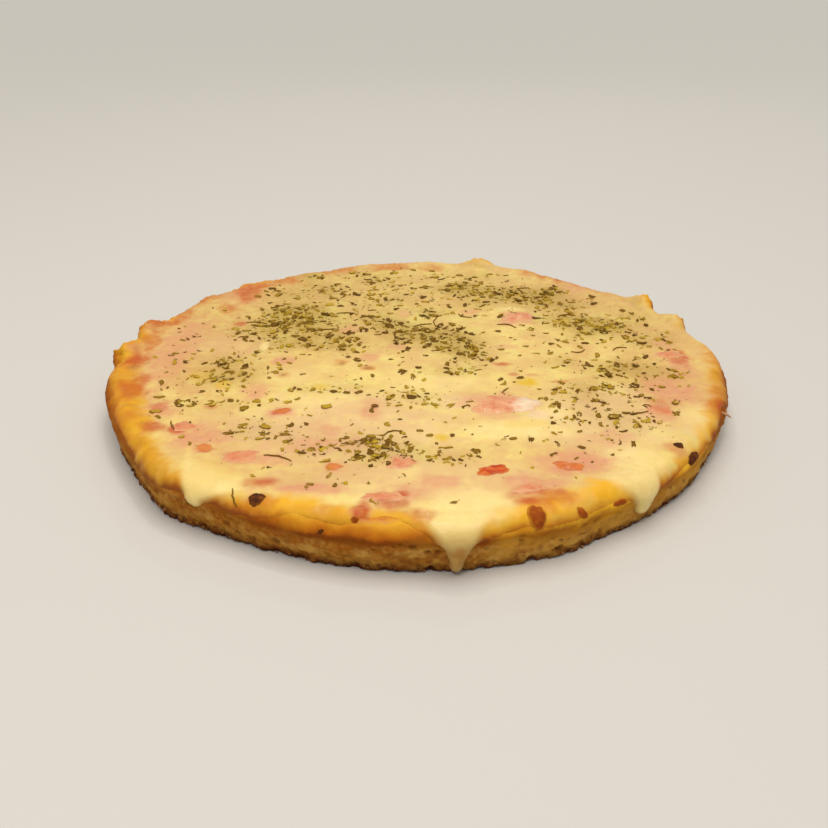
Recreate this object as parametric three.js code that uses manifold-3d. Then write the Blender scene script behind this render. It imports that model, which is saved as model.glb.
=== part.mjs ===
// A skillet pizza, whole and uncut: a thick pan-baked dough disc with a low lip, tomato sauce,
// melted cheese that has run over the lip in three places, pieces of ham and tomato showing
// through the cheese, and dried oregano scattered over the top.
// Millimetres, +Z up, resting on the flat underside of the dough. The front, with the longest
// cheese drip, faces -Y. Angles are in degrees, counter-clockwise from +X.
import * as THREE from "three";
import { mergeVertices } from "three/addons/utils/BufferGeometryUtils.js";
import Module from "manifold-3d";

const wasm = await Module();
wasm.setup();

// Driving dimensions
const SIDE_RADIUS = 111; // the dough's side, on average
const FLOOR_TOP = 11; // upper face of the dough under the sauce
const LIP_TOP = 14.5; // crest of the lip round the edge
const LIP_WIDTH = 13; // from the foot of the lip inside to the outer side
const SHOULDER_IN = 4.4; // how far the rounded shoulder reaches in from the side
const SHOULDER_DOWN = 4.4; // and how far it drops from the crest
const SIDE_TAPER = 1.6; // the side leans in by this much towards the underside
const FOOT_RADIUS = 1.6; // rounded lower edge
const SAUCE_INSET = 7.5; // the sauce usually stops this far inside the outline
const SAUCE_THICK = 0.9;
const SAUCE_CLEAR = 2; // the cheese stays clear of the sauce this far past its edge
const CHEESE_LEVEL = 15; // the cheese's upper face, away from the lip
const CHEESE_INSET = 2.6; // the cheese usually stops this far inside the outline
const CHEESE_FILM = 1; // cheese lying over the lip
const CHEESE_ROUNDING = 2.5; // the film thins out over this width at its edge
const GAP = 0.42; // clearance that each layer is laid with over the one below
const LEAST_GAP = 0.15; // and the least that is left wherever their faces come closer

// The browned lumps and the slacker stretches of the lip: where, how wide in degrees, how far
// out and how high
const LIP_LUMPS = [
  { at: 1, wide: 13, out: 1.4, rise: 0 },
  { at: 17.5, wide: 2.8, out: 3.2, rise: 2.2 },
  { at: 28.5, wide: 2.8, out: 3.2, rise: 3 },
  { at: 61, wide: 6, out: 1.6, rise: 0.9 },
  { at: 74, wide: 3.8, out: 2.2, rise: 4 },
  { at: 86, wide: 6, out: 1, rise: 0.5 },
  { at: 117, wide: 8, out: -1.6, rise: -0.3 },
  { at: 134, wide: 5, out: 0.6, rise: 1 },
  { at: 147, wide: 4, out: 1, rise: 0.8 },
  { at: 155.5, wide: 4, out: -2, rise: 0 },
  { at: 167, wide: 3.2, out: 3, rise: 1.8 },
  { at: 178, wide: 3, out: 3.6, rise: 2.2 },
  { at: 188, wide: 12, out: 1.6, rise: 0 },
  { at: 227, wide: 6, out: 1.6, rise: 0 },
  { at: 242, wide: 9, out: -1.2, rise: 0 },
  { at: 292, wide: 5, out: 1.4, rise: 0 },
  { at: 306, wide: 20, out: -3, rise: 0 },
  { at: 328, wide: 9, out: -0.9, rise: 0 },
];

// Where the cheese stops short of the lip and bare golden crust shows: angle, width, depth
const BARE_ARCS = [
  { at: 196, wide: 13, deep: 9 },
  { at: 214, wide: 9, deep: 4 },
  { at: 253.5, wide: 5.5, deep: 6 },
  { at: 289.5, wide: 7.5, deep: 7 },
  { at: 319, wide: 9, deep: 2.5 },
  { at: 136, wide: 8, deep: 4 },
];

// The cheese that has run over the lip: where, how far down the side, how wide at top and tip
const DRIPS = [
  { at: 275.2, reach: 16.4, topWide: 15, tipWide: 2.4, thick: 2.4 },
  { at: 306.5, reach: 12.5, topWide: 9, tipWide: 3.2, thick: 2 },
  { at: 234.5, reach: 6.6, topWide: 11, tipWide: 5, thick: 2.2 },
];

// Where the sauce has baked out onto the lip: angle, width, how far past its usual edge
const SAUCE_SMEARS = [
  { at: 181, wide: 9, far: 4.5 },
  { at: 161, wide: 10, far: 3.5 },
  { at: 136, wide: 10, far: 4.5 },
  { at: 112, wide: 9, far: 3.5 },
  { at: 54, wide: 9, far: 4 },
  { at: 338, wide: 8, far: 5 },
  { at: 262, wide: 8, far: 6.5 },
  { at: 290, wide: 8, far: 4 },
  { at: 201, wide: 10, far: 3.5 },
];

// Pieces that show through the cheese: centre, half length, half width, turn in degrees
const HAM = [
  { x: 29, y: -40.5, long: 12.5, wide: 7, turn: -4 },
  { x: 42, y: 37, long: 8, wide: 6, turn: 10 },
  { x: 94, y: -1, long: 5.5, wide: 4.2, turn: 20 },
  { x: 79, y: -45, long: 5.5, wide: 4.5, turn: -15 },
  { x: -74.5, y: -55.5, long: 4.5, wide: 3.5, turn: 30 },
  { x: -53, y: -74, long: 7, wide: 4, turn: 8 },
  { x: -5, y: -78, long: 5, wide: 3.6, turn: -10 },
  { x: -10, y: -95.5, long: 6.5, wide: 3.2, turn: -3 },
  { x: 31, y: -91.5, long: 5.5, wide: 3.2, turn: 12 },
];
const TOMATO = [
  { x: 21.5, y: -81.5, long: 5, wide: 3, turn: 16 },
  { x: 44, y: -78.5, long: 4.6, wide: 3, turn: -12 },
  { x: -44.5, y: -45.5, long: 3, wide: 2.4, turn: 35 },
  { x: -65, y: -68.5, long: 3, wide: 2.2, turn: -20 },
  { x: -25, y: -79, long: 2.8, wide: 2.2, turn: -30 },
];
const PIECE_HALF_THICK = 1.2;
const PIECE_SUNK = 0.55; // the piece's middle lies this far under the cheese's face

// Oregano: thicker drifts of flakes, as centre, spread and share, over an even scatter
const DRIFTS = [
  { x: -45, y: 36, spread: 11, share: 0.2 },
  { x: 8, y: 24, spread: 15, share: 0.2 },
  { x: 38, y: 66, spread: 16, share: 0.12 },
  { x: 66, y: 36, spread: 12, share: 0.1 },
  { x: -66, y: -8, spread: 9, share: 0.08 },
  { x: 58, y: -36, spread: 11, share: 0.12 },
  { x: -12, y: -62, spread: 8, share: 0.1 },
  { x: 26, y: -6, spread: 8, share: 0.08 },
];
const FLAKES = 84; // the largest flakes; the rest are too fine to be solids
const FLAKE_LONG = 3.6;
const FLAKE_WIDE = 1.9;
const FLAKE_THICK = 0.9;
const FLAKE_SPACING = 3.6;
const SCATTER_RADIUS = 98;

// Steps round the edge, and where the rings of corners lie: on the inside of the lip as
// distances in from the outline, and nearer the middle as radius and corners in the ring
const STEPS = 112;
const LIP_RINGS = [13.5, 9.8, 7, SHOULDER_IN];
const FACE_RINGS = [
  { radius: 20, steps: STEPS / 8 },
  { radius: 44, steps: STEPS / 4 },
  { radius: 72, steps: STEPS / 2 },
];

const radians = THREE.MathUtils.degToRad;
const smooth = THREE.MathUtils.smoothstep;

// A repeatable number from 0 to 1 for the kth draw of item i.
function draw(i, k) {
  const v = Math.sin(i * 127.1 + k * 311.7) * 43758.5453;
  return v - Math.floor(v);
}

// 1 at the angle, falling to 0 over about twice the width.
function bell(angle, at, wide) {
  const off = ((angle - at + 540) % 360) - 180;
  return Math.exp(-((off / wide) ** 2));
}

function sumOf(list, angle, key) {
  return list.reduce((sum, item) => sum + item[key] * bell(angle, item.at, item.wide), 0);
}

// The slow wander of the outline that hand-spread dough has.
function outline(angle) {
  const a = radians(angle);
  const wander = 0.5 * Math.cos(2 * a + 0.6) + 0.35 * Math.sin(5 * a) + 0.3 * Math.cos(9 * a + 1);
  return SIDE_RADIUS + wander + sumOf(LIP_LUMPS, angle, "out");
}

function lipTop(angle) {
  const a = radians(angle);
  const wander = 0.3 * Math.sin(4 * a + 1) + 0.22 * Math.cos(11 * a);
  return LIP_TOP + wander + sumOf(LIP_LUMPS, angle, "rise");
}

const SHOULDER_ARC = (Math.PI / 2) * Math.hypot(SHOULDER_IN, SHOULDER_DOWN) * Math.SQRT1_2;

// A point of the smooth crust at an angle, a distance along its section from the axis over the
// lip and down the side, as [radius, height].
function sectionPoint(angle, along) {
  const side = outline(angle);
  const top = lipTop(angle);
  const crest = side - SHOULDER_IN;
  if (along <= crest) {
    const foot = side - LIP_WIDTH;
    return [along, FLOOR_TOP + (top - FLOOR_TOP) * smooth(along, foot, crest)];
  }
  const past = along - crest;
  if (past <= SHOULDER_ARC) {
    const turn = (past / SHOULDER_ARC) * (Math.PI / 2);
    const radius = side - SHOULDER_IN * (1 - Math.sin(turn));
    return [radius, top - SHOULDER_DOWN * (1 - Math.cos(turn))];
  }
  const sideTop = top - SHOULDER_DOWN;
  const z = Math.max(sideTop - (past - SHOULDER_ARC), FOOT_RADIUS);
  const lean = (sideTop - z) / (sideTop - FOOT_RADIUS);
  return [side - SIDE_TAPER * lean * lean, z];
}

// The same point moved out along the section's normal.
function raised(angle, along, by) {
  const step = 0.05;
  const [r0, z0] = sectionPoint(angle, along - step);
  const [r1, z1] = sectionPoint(angle, along + step);
  const [r, z] = sectionPoint(angle, along);
  const length = Math.hypot(r1 - r0, z1 - z0) || 1;
  return [r - ((z1 - z0) / length) * by, z + ((r1 - r0) / length) * by];
}

const onRing = (angle, [r, z]) => [r * Math.cos(radians(angle)), r * Math.sin(radians(angle)), z];
const angles = (steps) => Array.from({ length: steps }, (_, j) => (360 * j) / steps);

// The faces between two rings of corners, of which one may have twice as many as the other.
function between(a, b) {
  const faces = [];
  const steps = Math.min(a.length, b.length);
  const [inA, inB] = [a.length / steps, b.length / steps];
  const atA = (n) => a[n % a.length];
  const atB = (n) => b[n % b.length];
  for (let j = 0; j < steps; j++) {
    const [p, q] = [j * inA, j * inB];
    if (inA === 2) faces.push(atA(p), atB(q), atA(p + 1));
    if (inB === 2) faces.push(atA(p), atB(q), atB(q + 1));
    faces.push(atA(p + inA - 1), atB(q + inB - 1), atA(p + inA));
    faces.push(atA(p + inA), atB(q + inB - 1), atB(q + inB));
  }
  return faces;
}

// A closed solid: a pole on the upper face, rings outwards and back in below, and a last pole.
function solidFromRings(firstPole, rings, lastPole) {
  const positions = [firstPole, ...rings.flat(), lastPole].flat();
  const numbered = [];
  let next = 1;
  for (const ring of rings) numbered.push(ring.map(() => next++));
  const index = [];
  const [first, last] = [numbered[0], numbered[numbered.length - 1]];
  first.forEach((corner, j) => index.push(0, corner, first[(j + 1) % first.length]));
  for (let k = 0; k + 1 < rings.length; k++) index.push(...between(numbered[k], numbered[k + 1]));
  last.forEach((corner, j) => index.push(corner, next, last[(j + 1) % last.length]));
  const geometry = new THREE.BufferGeometry();
  geometry.setAttribute("position", new THREE.Float32BufferAttribute(positions, 3));
  geometry.setIndex(index);
  return solidOf(geometry);
}

function solidOf(geometry) {
  const bare = geometry.clone();
  bare.deleteAttribute("normal");
  bare.deleteAttribute("uv");
  const merged = mergeVertices(bare, 1e-4);
  const mesh = new wasm.Mesh({
    numProp: 3,
    vertProperties: merged.attributes.position.array,
    triVerts: new Uint32Array(merged.index.array),
  });
  return new wasm.Manifold(mesh);
}

// The dough disc, grown by a clearance where another solid is cut back from it. Its side is
// craggy, most of all near the foot, where crumbs of the batter stand out.
function crust(grow) {
  const around = angles(STEPS);
  const rings = LIP_RINGS.map((inset) =>
    around.map((angle) => onRing(angle, raised(angle, outline(angle) - inset, grow))),
  );
  const onShoulder = [0.28, 0.52, 0.76, 1].map((share) => share * SHOULDER_ARC);
  const onSide = [2.7, 5.6].map((down) => SHOULDER_ARC + down);
  [...onShoulder, ...onSide].forEach((past, k) => {
    rings.push(
      around.map((angle, j) => {
        const crag = (draw(j, k + 20) - 0.5) * 0.28 * k;
        return onRing(angle, raised(angle, outline(angle) - SHOULDER_IN + past, grow + crag));
      }),
    );
  });
  for (const [share, height] of [[0.45, 0.9], [1, 0]]) {
    rings.push(
      around.map((angle, j) => {
        const radius = outline(angle) - SIDE_TAPER - share * FOOT_RADIUS;
        const crag = (draw(j, 40 + share) - 0.5) * 1.5;
        return onRing(angle, [radius + crag + grow, height - grow]);
      }),
    );
  }
  return solidFromRings([0, 0, FLOOR_TOP + grow], rings, [0, 0, -grow]);
}

// A layer laid over the crust out to its edge, from its upper and lower faces. Rings that would
// lie past the edge are drawn in to just inside it.
function layer(edgeAt, upperAt, lowerAt, faceRings) {
  const around = angles(STEPS);
  const insets = [...LIP_RINGS, 0];
  const ring = (pointAt, k) =>
    around.map((angle) => {
      const edge = edgeAt(angle);
      const room = 0.5 * (insets.length - k);
      return onRing(angle, pointAt(angle, Math.min(outline(angle) - insets[k], edge - room)));
    });
  const inner = faceRings.map(({ radius, steps }) =>
    angles(steps).map((angle) => onRing(angle, upperAt(angle, radius))),
  );
  const upper = insets.map((_, k) => ring(upperAt, k));
  const rim = around.map((angle) => onRing(angle, lowerAt(angle, edgeAt(angle))));
  const lower = LIP_RINGS.map((_, k) => ring(lowerAt, k)).reverse();
  const poles = [upperAt, lowerAt].map((pointAt) => [0, 0, pointAt(0, 0)[1]]);
  return solidFromRings(poles[0], [...inner, ...upper, rim, ...lower], poles[1]);
}

// How full a layer's thickness is at a distance inside its edge, rounding off to nothing.
const fullness = (inside, rounding) => Math.sqrt(Math.min(1, Math.max(0, inside / rounding)));

const sauceEdge = (angle) => outline(angle) - SAUCE_INSET + sumOf(SAUCE_SMEARS, angle, "far");
const sauceThick = (angle, along) => SAUCE_THICK * fullness(sauceEdge(angle) - along, 1.6);

// The sauce, grown by a clearance where another solid is cut back from it.
function sauce(grow) {
  const upperAt = (angle, along) => raised(angle, along, GAP + sauceThick(angle, along - grow) + grow);
  const lowerAt = (angle, along) => raised(angle, along, GAP - grow);
  return layer((angle) => sauceEdge(angle) + grow, upperAt, lowerAt, []);
}

// The cheese's upper face away from the lip: low swells, higher over the ham.
function cheeseLevel(x, y) {
  const swell =
    0.32 * Math.sin(x * 0.071 + 0.8) * Math.cos(y * 0.083) + 0.22 * Math.sin(x * 0.15 - y * 0.12 + 2);
  const over = HAM.reduce((sum, h) => {
    const far = Math.hypot(x - h.x, y - h.y) / (h.long + 5);
    return sum + 0.5 * Math.exp(-far * far);
  }, 0);
  return CHEESE_LEVEL + swell + over;
}

const cheeseEdge = (angle) => {
  const a = radians(angle);
  const wander = 0.9 * Math.sin(13 * a + 1) + 0.7 * Math.cos(21 * a);
  return outline(angle) - CHEESE_INSET + wander - sumOf(BARE_ARCS, angle, "deep");
};

// The cheese rests on the sauce, and comes down to the crust a little way past its edge.
function cheeseBase(angle, along) {
  const past = along - SAUCE_CLEAR;
  return GAP + sauceThick(angle, past) + (past < sauceEdge(angle) ? GAP : 0);
}

const cheeseUnder = (angle, along) => raised(angle, along, cheeseBase(angle, along));

// The cheese's upper face: level in the middle, and a thin film where it lies over the lip.
function cheeseFace(angle, along) {
  const film = CHEESE_FILM * fullness(cheeseEdge(angle) - along, CHEESE_ROUNDING);
  const [r, z] = raised(angle, along, cheeseBase(angle, along) + film);
  const crest = outline(angle) - SHOULDER_IN;
  if (along > crest) return [r, z];
  const level = cheeseLevel(along * Math.cos(radians(angle)), along * Math.sin(radians(angle)));
  const lip = smooth(along, outline(angle) - LIP_WIDTH, crest - 2);
  return [r, Math.max(z, level * (1 - lip) + z * lip)];
}

// A run of cheese over the lip and down the side, narrowing to its tip.
function drip({ at, reach, topWide, tipWide, thick }) {
  const across = 3;
  const down = 8;
  const sheet = (depthAt) => {
    const points = [];
    for (let j = 0; j <= down; j++) {
      const share = j / down;
      const half = tipWide + (topWide - tipWide) * (1 - share) ** 1.9;
      for (let i = -across; i <= across; i++) {
        const off = (i / across) * 1.12;
        const angle = at + THREE.MathUtils.radToDeg((off * half) / SIDE_RADIUS);
        const along = outline(angle) - SHOULDER_IN - 4 + (reach + 4) * share;
        points.push(onRing(angle, raised(angle, along, depthAt(off, share))));
      }
    }
    return points;
  };
  const outer = sheet((off, share) => {
    const arch = Math.sqrt(Math.max(0, 1 - off * off));
    const start = 0.45 + 0.55 * smooth(share, 0, 0.45);
    const end = Math.sqrt(Math.max(0, 1 - ((share - 0.55) / 0.45) ** 4 * (share > 0.55 ? 1 : 0)));
    return GAP - 0.5 + (thick + 0.5) * arch * start * end;
  });
  const inner = sheet(() => -1.6);
  const wide = 2 * across + 1;
  const index = [];
  const quad = (a, b, c, d) => index.push(a, b, c, a, c, d);
  for (let j = 0; j < down; j++)
    for (let i = 0; i < wide - 1; i++) {
      const a = j * wide + i;
      const under = outer.length + a;
      quad(a, a + wide, a + wide + 1, a + 1);
      quad(under, under + 1, under + wide + 1, under + wide);
    }
  const border = [];
  for (let i = 0; i < wide; i++) border.push(i);
  for (let j = 1; j <= down; j++) border.push(j * wide + wide - 1);
  for (let i = wide - 2; i >= 0; i--) border.push(down * wide + i);
  for (let j = down - 1; j >= 1; j--) border.push(j * wide);
  border.forEach((a, k) => {
    const b = border[(k + 1) % border.length];
    quad(a, b, b + outer.length, a + outer.length);
  });
  const geometry = new THREE.BufferGeometry();
  const positions = [...outer, ...inner].flat();
  geometry.setAttribute("position", new THREE.Float32BufferAttribute(positions, 3));
  geometry.setIndex(index);
  return solidOf(geometry);
}

// One piece of ham or tomato, flattened and uneven, grown where the cheese is cut back from it.
function piece({ x, y, long, wide, turn }, number, grow) {
  const geometry = new THREE.SphereGeometry(1, 8, 5).toNonIndexed();
  geometry.rotateX(Math.PI / 2);
  const position = geometry.attributes.position;
  for (let i = 0; i < position.count; i++) {
    const [px, py, pz] = [position.getX(i), position.getY(i), position.getZ(i)];
    const around = Math.atan2(py, px);
    const uneven = 1 + 0.12 * Math.sin(2 * around + number) + 0.08 * Math.cos(3 * around + 2 * number);
    const boxy = 1 / Math.max(0.72, Math.hypot(px, py, pz * 0.7));
    position.setX(i, px * uneven * boxy * (long + grow));
    position.setY(i, py * uneven * boxy * (wide + grow));
    position.setZ(i, pz * (PIECE_HALF_THICK + grow));
  }
  geometry.rotateZ(radians(turn));
  const far = Math.hypot(x, y);
  const angle = THREE.MathUtils.radToDeg(Math.atan2(y, x));
  const height = cheeseFace(angle, far)[1] - PIECE_SUNK;
  geometry.translate(x, y, height);
  return solidOf(geometry);
}

// A flake of dried oregano: a pointed chip lying on the cheese and half sunk in it.
function flake(x, y, size, turn, tilt) {
  const shape = new THREE.Shape();
  const half = (FLAKE_LONG * size) / 2;
  const wide = (FLAKE_WIDE * size) / 2;
  shape.moveTo(-half, 0);
  shape.lineTo(half * 0.25, -wide);
  shape.lineTo(half, wide * 0.2);
  shape.lineTo(-half * 0.2, wide);
  const geometry = new THREE.ExtrudeGeometry(shape, { depth: FLAKE_THICK, bevelEnabled: false });
  geometry.translate(0, 0, -FLAKE_THICK * 0.62);
  geometry.rotateX(tilt);
  geometry.rotateZ(turn);
  geometry.translate(x, y, cheeseLevel(x, y));
  return solidOf(geometry);
}

// Where the oregano lies: by turns in a drift or anywhere, off the pieces and apart.
function flakePlaces() {
  const places = [];
  for (let i = 1; places.length < FLAKES && i < 4000; i++) {
    const share = draw(i, 1);
    let sum = 0;
    const drift = DRIFTS.find((d) => (sum += d.share * 0.8) > share);
    const far = drift ? drift.spread * Math.sqrt(-2 * Math.log(1 - 0.95 * draw(i, 2))) * 0.75
      : SCATTER_RADIUS * Math.sqrt(draw(i, 2));
    const way = 2 * Math.PI * draw(i, 3);
    const x = (drift ? drift.x : 0) + far * Math.cos(way);
    const y = (drift ? drift.y : 0) + far * Math.sin(way) * (drift ? 0.8 : 1);
    const size = 1.15 - 0.4 * (places.length / FLAKES);
    const angle = (THREE.MathUtils.radToDeg(Math.atan2(y, x)) + 360) % 360;
    const onCheese = Math.hypot(x, y) < Math.min(SCATTER_RADIUS, cheeseEdge(angle) - LIP_WIDTH + 2);
    const clear = [...HAM, ...TOMATO].every((p) => Math.hypot(x - p.x, y - p.y) > p.long + 3.6);
    const apart = places.every((p) => Math.hypot(x - p.x, y - p.y) > FLAKE_SPACING);
    if (onCheese && clear && apart)
      places.push({ x, y, size, turn: Math.PI * draw(i, 4), tilt: 0.24 * (draw(i, 5) - 0.5) });
  }
  return places;
}

// The largest body of a solid, leaving loose scraps out.
function largest(solid) {
  const bodies = solid.decompose();
  return bodies.reduce((a, b) => (b.volume() > a.volume() ? b : a));
}

function meshOf(name, solid, material) {
  const made = solid.getMesh();
  const stride = made.numProp;
  const positions = [];
  for (let i = 0; i < made.numVert; i++)
    positions.push(...made.vertProperties.subarray(i * stride, i * stride + 3));
  const geometry = new THREE.BufferGeometry();
  geometry.setAttribute("position", new THREE.Float32BufferAttribute(positions, 3));
  geometry.setIndex([...made.triVerts]);
  geometry.computeVertexNormals();
  const mesh = new THREE.Mesh(geometry, material);
  mesh.name = name;
  return mesh;
}

const food = (color, roughness) => new THREE.MeshStandardMaterial({ color, roughness, metalness: 0 });
const bakedDough = food(0xd9a04e, 0.8);
const tomatoSauce = food(0xd9702e, 0.5);
const meltedCheese = food(0xf0d488, 0.4);
const cookedHam = food(0xe89a80, 0.45);
const tomatoFlesh = food(0xd8552c, 0.35);

// What reaches into the dough or the sauce is cut back from it.
const nearCrust = crust(LEAST_GAP);
const nearSauce = sauce(LEAST_GAP);
const bedded = (p, n) => largest(piece(p, n, 0).subtract(nearCrust));
const hams = HAM.map((h, n) => bedded(h, n));
const tomatoes = TOMATO.map((t, n) => bedded(t, n + 10));
const pockets = [...HAM.map((h, n) => piece(h, n, GAP)), ...TOMATO.map((t, n) => piece(t, n + 10, GAP))];

let cheese = layer(cheeseEdge, cheeseFace, cheeseUnder, FACE_RINGS);
for (const run of DRIPS) cheese = cheese.add(drip(run));
cheese = cheese.subtract(nearCrust).subtract(nearSauce);
for (const { x, y, size, turn, tilt } of flakePlaces()) cheese = cheese.add(flake(x, y, size, turn, tilt));
for (const pocket of pockets) cheese = cheese.subtract(pocket);

const pizza = new THREE.Group();
pizza.name = "skillet_pizza";
pizza.add(meshOf("crust", crust(0), bakedDough));
pizza.add(meshOf("sauce", largest(sauce(0).subtract(nearCrust)), tomatoSauce));
pizza.add(meshOf("cheese", largest(cheese), meltedCheese));
hams.forEach((solid, n) => pizza.add(meshOf(`ham_${n + 1}`, solid, cookedHam)));
tomatoes.forEach((solid, n) => pizza.add(meshOf(`tomato_${n + 1}`, solid, tomatoFlesh)));

// The uneven outline is brought over the origin, so that the pizza stands centred on it.
const bounds = new THREE.Box3().setFromObject(pizza);
const middle = bounds.getCenter(new THREE.Vector3());
pizza.position.set(-middle.x, -middle.y, 0);

export default pizza;
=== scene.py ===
import itertools
import math

import bpy
import numpy as np
from mathutils.geometry import delaunay_2d_cdt
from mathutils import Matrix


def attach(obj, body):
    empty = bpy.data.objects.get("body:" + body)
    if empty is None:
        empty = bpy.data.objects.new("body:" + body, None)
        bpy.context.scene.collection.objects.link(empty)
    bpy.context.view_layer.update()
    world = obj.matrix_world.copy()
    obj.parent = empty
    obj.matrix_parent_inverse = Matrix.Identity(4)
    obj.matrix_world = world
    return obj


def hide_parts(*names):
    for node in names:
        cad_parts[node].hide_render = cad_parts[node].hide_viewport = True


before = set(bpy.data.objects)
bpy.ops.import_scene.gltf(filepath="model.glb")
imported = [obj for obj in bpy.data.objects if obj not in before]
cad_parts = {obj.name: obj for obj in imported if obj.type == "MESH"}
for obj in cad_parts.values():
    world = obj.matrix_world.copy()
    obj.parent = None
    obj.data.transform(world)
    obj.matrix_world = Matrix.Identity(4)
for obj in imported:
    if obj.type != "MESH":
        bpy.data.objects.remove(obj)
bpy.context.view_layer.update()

# Dough
# A thick disc of bread dough, spread by hand and baked in an oiled pan. It is smooth and golden
# over its low lip, dry and porous down the side that stood against the pan, with a thin brown
# corner where the side begins and a dark fried edge at the foot. Everything else lies on it.

MM = 0.001
PER_MM = 1000.0  # a texture scale of PER_MM / 5 has lumps of about 5 mm
AXIS_X, AXIS_Y = 0.9357, 0.3778  # the dough's own middle in the frame, mm
SIDE_RADIUS = 111
FLOOR_TOP = 11
LIP_TOP = 14.5
LIP_WIDTH = 13
SHOULDER = 4.4  # the rounded shoulder reaches this far in and this far down
SHOULDER_ARC = SHOULDER * math.pi / 2
SIDE_TAPER = 1.6
FOOT_RADIUS = 1.6
FOOT_ARC = FOOT_RADIUS * math.pi / 2

# Browned lumps and slacker stretches of the lip: degrees, width in degrees, mm out, mm up
LIP_LUMPS = [
    (1, 13, 1.4, 0), (17.5, 2.8, 3.2, 2.2), (28.5, 2.8, 3.2, 3), (61, 6, 1.6, 0.9), (74, 3.8, 2.2, 3.5),
    (86, 6, 1, 0.5), (117, 8, -1.6, -0.3), (134, 5, 0.6, 1), (147, 4, 1, 0.8), (155.5, 4, -2, 0),
    (167, 3.2, 3, 1.8), (178, 3, 3.6, 2.2), (188, 12, 1.6, 0), (227, 6, 1.6, 0), (242, 9, -1.2, 0),
    (292, 5, 1.4, 0), (306, 20, -3, 0), (328, 9, -0.9, 0),
]

# Where the lip's edge is crisp and toothed: degrees, width in degrees, strength
CRISP_ARCS = [
    (17, 4, 0.9), (28.5, 4, 1), (40, 7, 0.3), (60, 9, 0.35), (74, 4, 0.8), (92, 10, 0.3),
    (117, 14, 0.4), (137, 9, 0.6), (150, 8, 0.6), (166, 7, 0.9), (179, 7, 0.9),
]

# How the rim baked: degrees, width in degrees, and how far in the brown reaches, mm
BAKED_ARCS = [
    (198, 20, 1.3), (228, 12, 1.8), (180, 5, -1.5), (252, 10, -0.9), (265, 8, -0.7), (292, 14, -2.8),
    (320, 9, -1.6), (345, 11, 2.8), (15, 28, 0.2), (90, 50, 0.7), (140, 30, 0.8),
]


def ease(value, low, high):
    """0 below low, 1 above high, and smooth between."""
    share = np.clip((value - low) / (high - low), 0, 1)
    return share * share * (3 - 2 * share)


def bell(angle, at, wide):
    """1 at an angle, fading to nothing at about twice the width to either side of it."""
    off = (angle - at + 540) % 360 - 180
    return np.exp(-((off / wide) ** 2))


def added(angle, arcs):
    """What a list of arcs adds up to at an angle: degrees, width in degrees, and how much."""
    return sum(much * bell(angle, at, wide) for at, wide, much in arcs)


def lattice(cell, seed):
    """Three repeatable numbers from -1 to 1 for each cell of a grid."""
    mixed = cell[:, 0] * 374761393 + cell[:, 1] * 668265263 + cell[:, 2] * 1274126177
    mixed = (mixed + seed * 974634777) & 0x7FFFFFFF
    mixed = ((mixed ^ (mixed >> 13)) * 1103515245) & 0x7FFFFFFF
    mixed = ((mixed ^ (mixed >> 15)) * 1274126177) & 0x7FFFFFFF
    return np.stack([(mixed >> k) & 255 for k in (5, 13, 21)], -1) / 127.5 - 1


def lumps(points, size, seed):
    """Smooth lumps of about a size in mm, from about -1 to 1, at points in mm."""
    spread = np.asarray(points, float) / size
    cell = np.floor(spread).astype(np.int64)
    inside = spread - cell
    fade = inside**3 * (inside * (inside * 6 - 15) + 10)
    total = np.zeros(len(spread))
    for corner in itertools.product((0, 1), repeat=3):
        weight = np.prod(np.where(corner, fade, 1 - fade), axis=1)
        slope = lattice(cell + corner, seed)
        total += weight * np.sum(slope * (inside - corner), axis=1)
    return total * 1.5


def pores(points, size, seed, share):
    """How deep each point lies in a pore, 0 to 1, with pores in a share of cells of a size."""
    spread = np.asarray(points, float) / size
    cell = np.floor(spread).astype(np.int64)
    deepest = np.zeros(len(spread))
    for step in itertools.product((-1, 0, 1), repeat=3):
        here = cell + step
        middle = here + 0.5 + 0.4 * lattice(here, seed)
        kind = lattice(here, seed + 50)
        radius = 0.42 + 0.22 * kind[:, 0]
        far = np.linalg.norm(spread - middle, axis=1) / radius
        deep = np.clip(1 - far * far, 0, 1) * (kind[:, 1] < 2 * share - 1)
        deepest = np.maximum(deepest, deep)
    return deepest


def outline(angle):
    """The dough's side from above: its radius at an angle in degrees."""
    a = np.radians(angle)
    radius = SIDE_RADIUS + 0.5 * np.cos(2 * a + 0.6) + 0.35 * np.sin(5 * a)
    radius = radius + 0.3 * np.cos(9 * a + 1)
    return radius + sum(out * bell(angle, at, wide) for at, wide, out, up in LIP_LUMPS)


def lip_top(angle):
    """The height of the lip's crest."""
    a = np.radians(angle)
    top = LIP_TOP + 0.3 * np.sin(4 * a + 1) + 0.22 * np.cos(11 * a)
    return top + sum(up * bell(angle, at, wide) for at, wide, out, up in LIP_LUMPS)


def wall_height(angle):
    """The height of the straight part of the side, between the shoulder and the round foot."""
    return lip_top(angle) - SHOULDER - FOOT_RADIUS


def browned(angle):
    """How far in the brown of the baked edge reaches there, against the rest of the rim, mm."""
    return added(angle, BAKED_ARCS)


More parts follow.
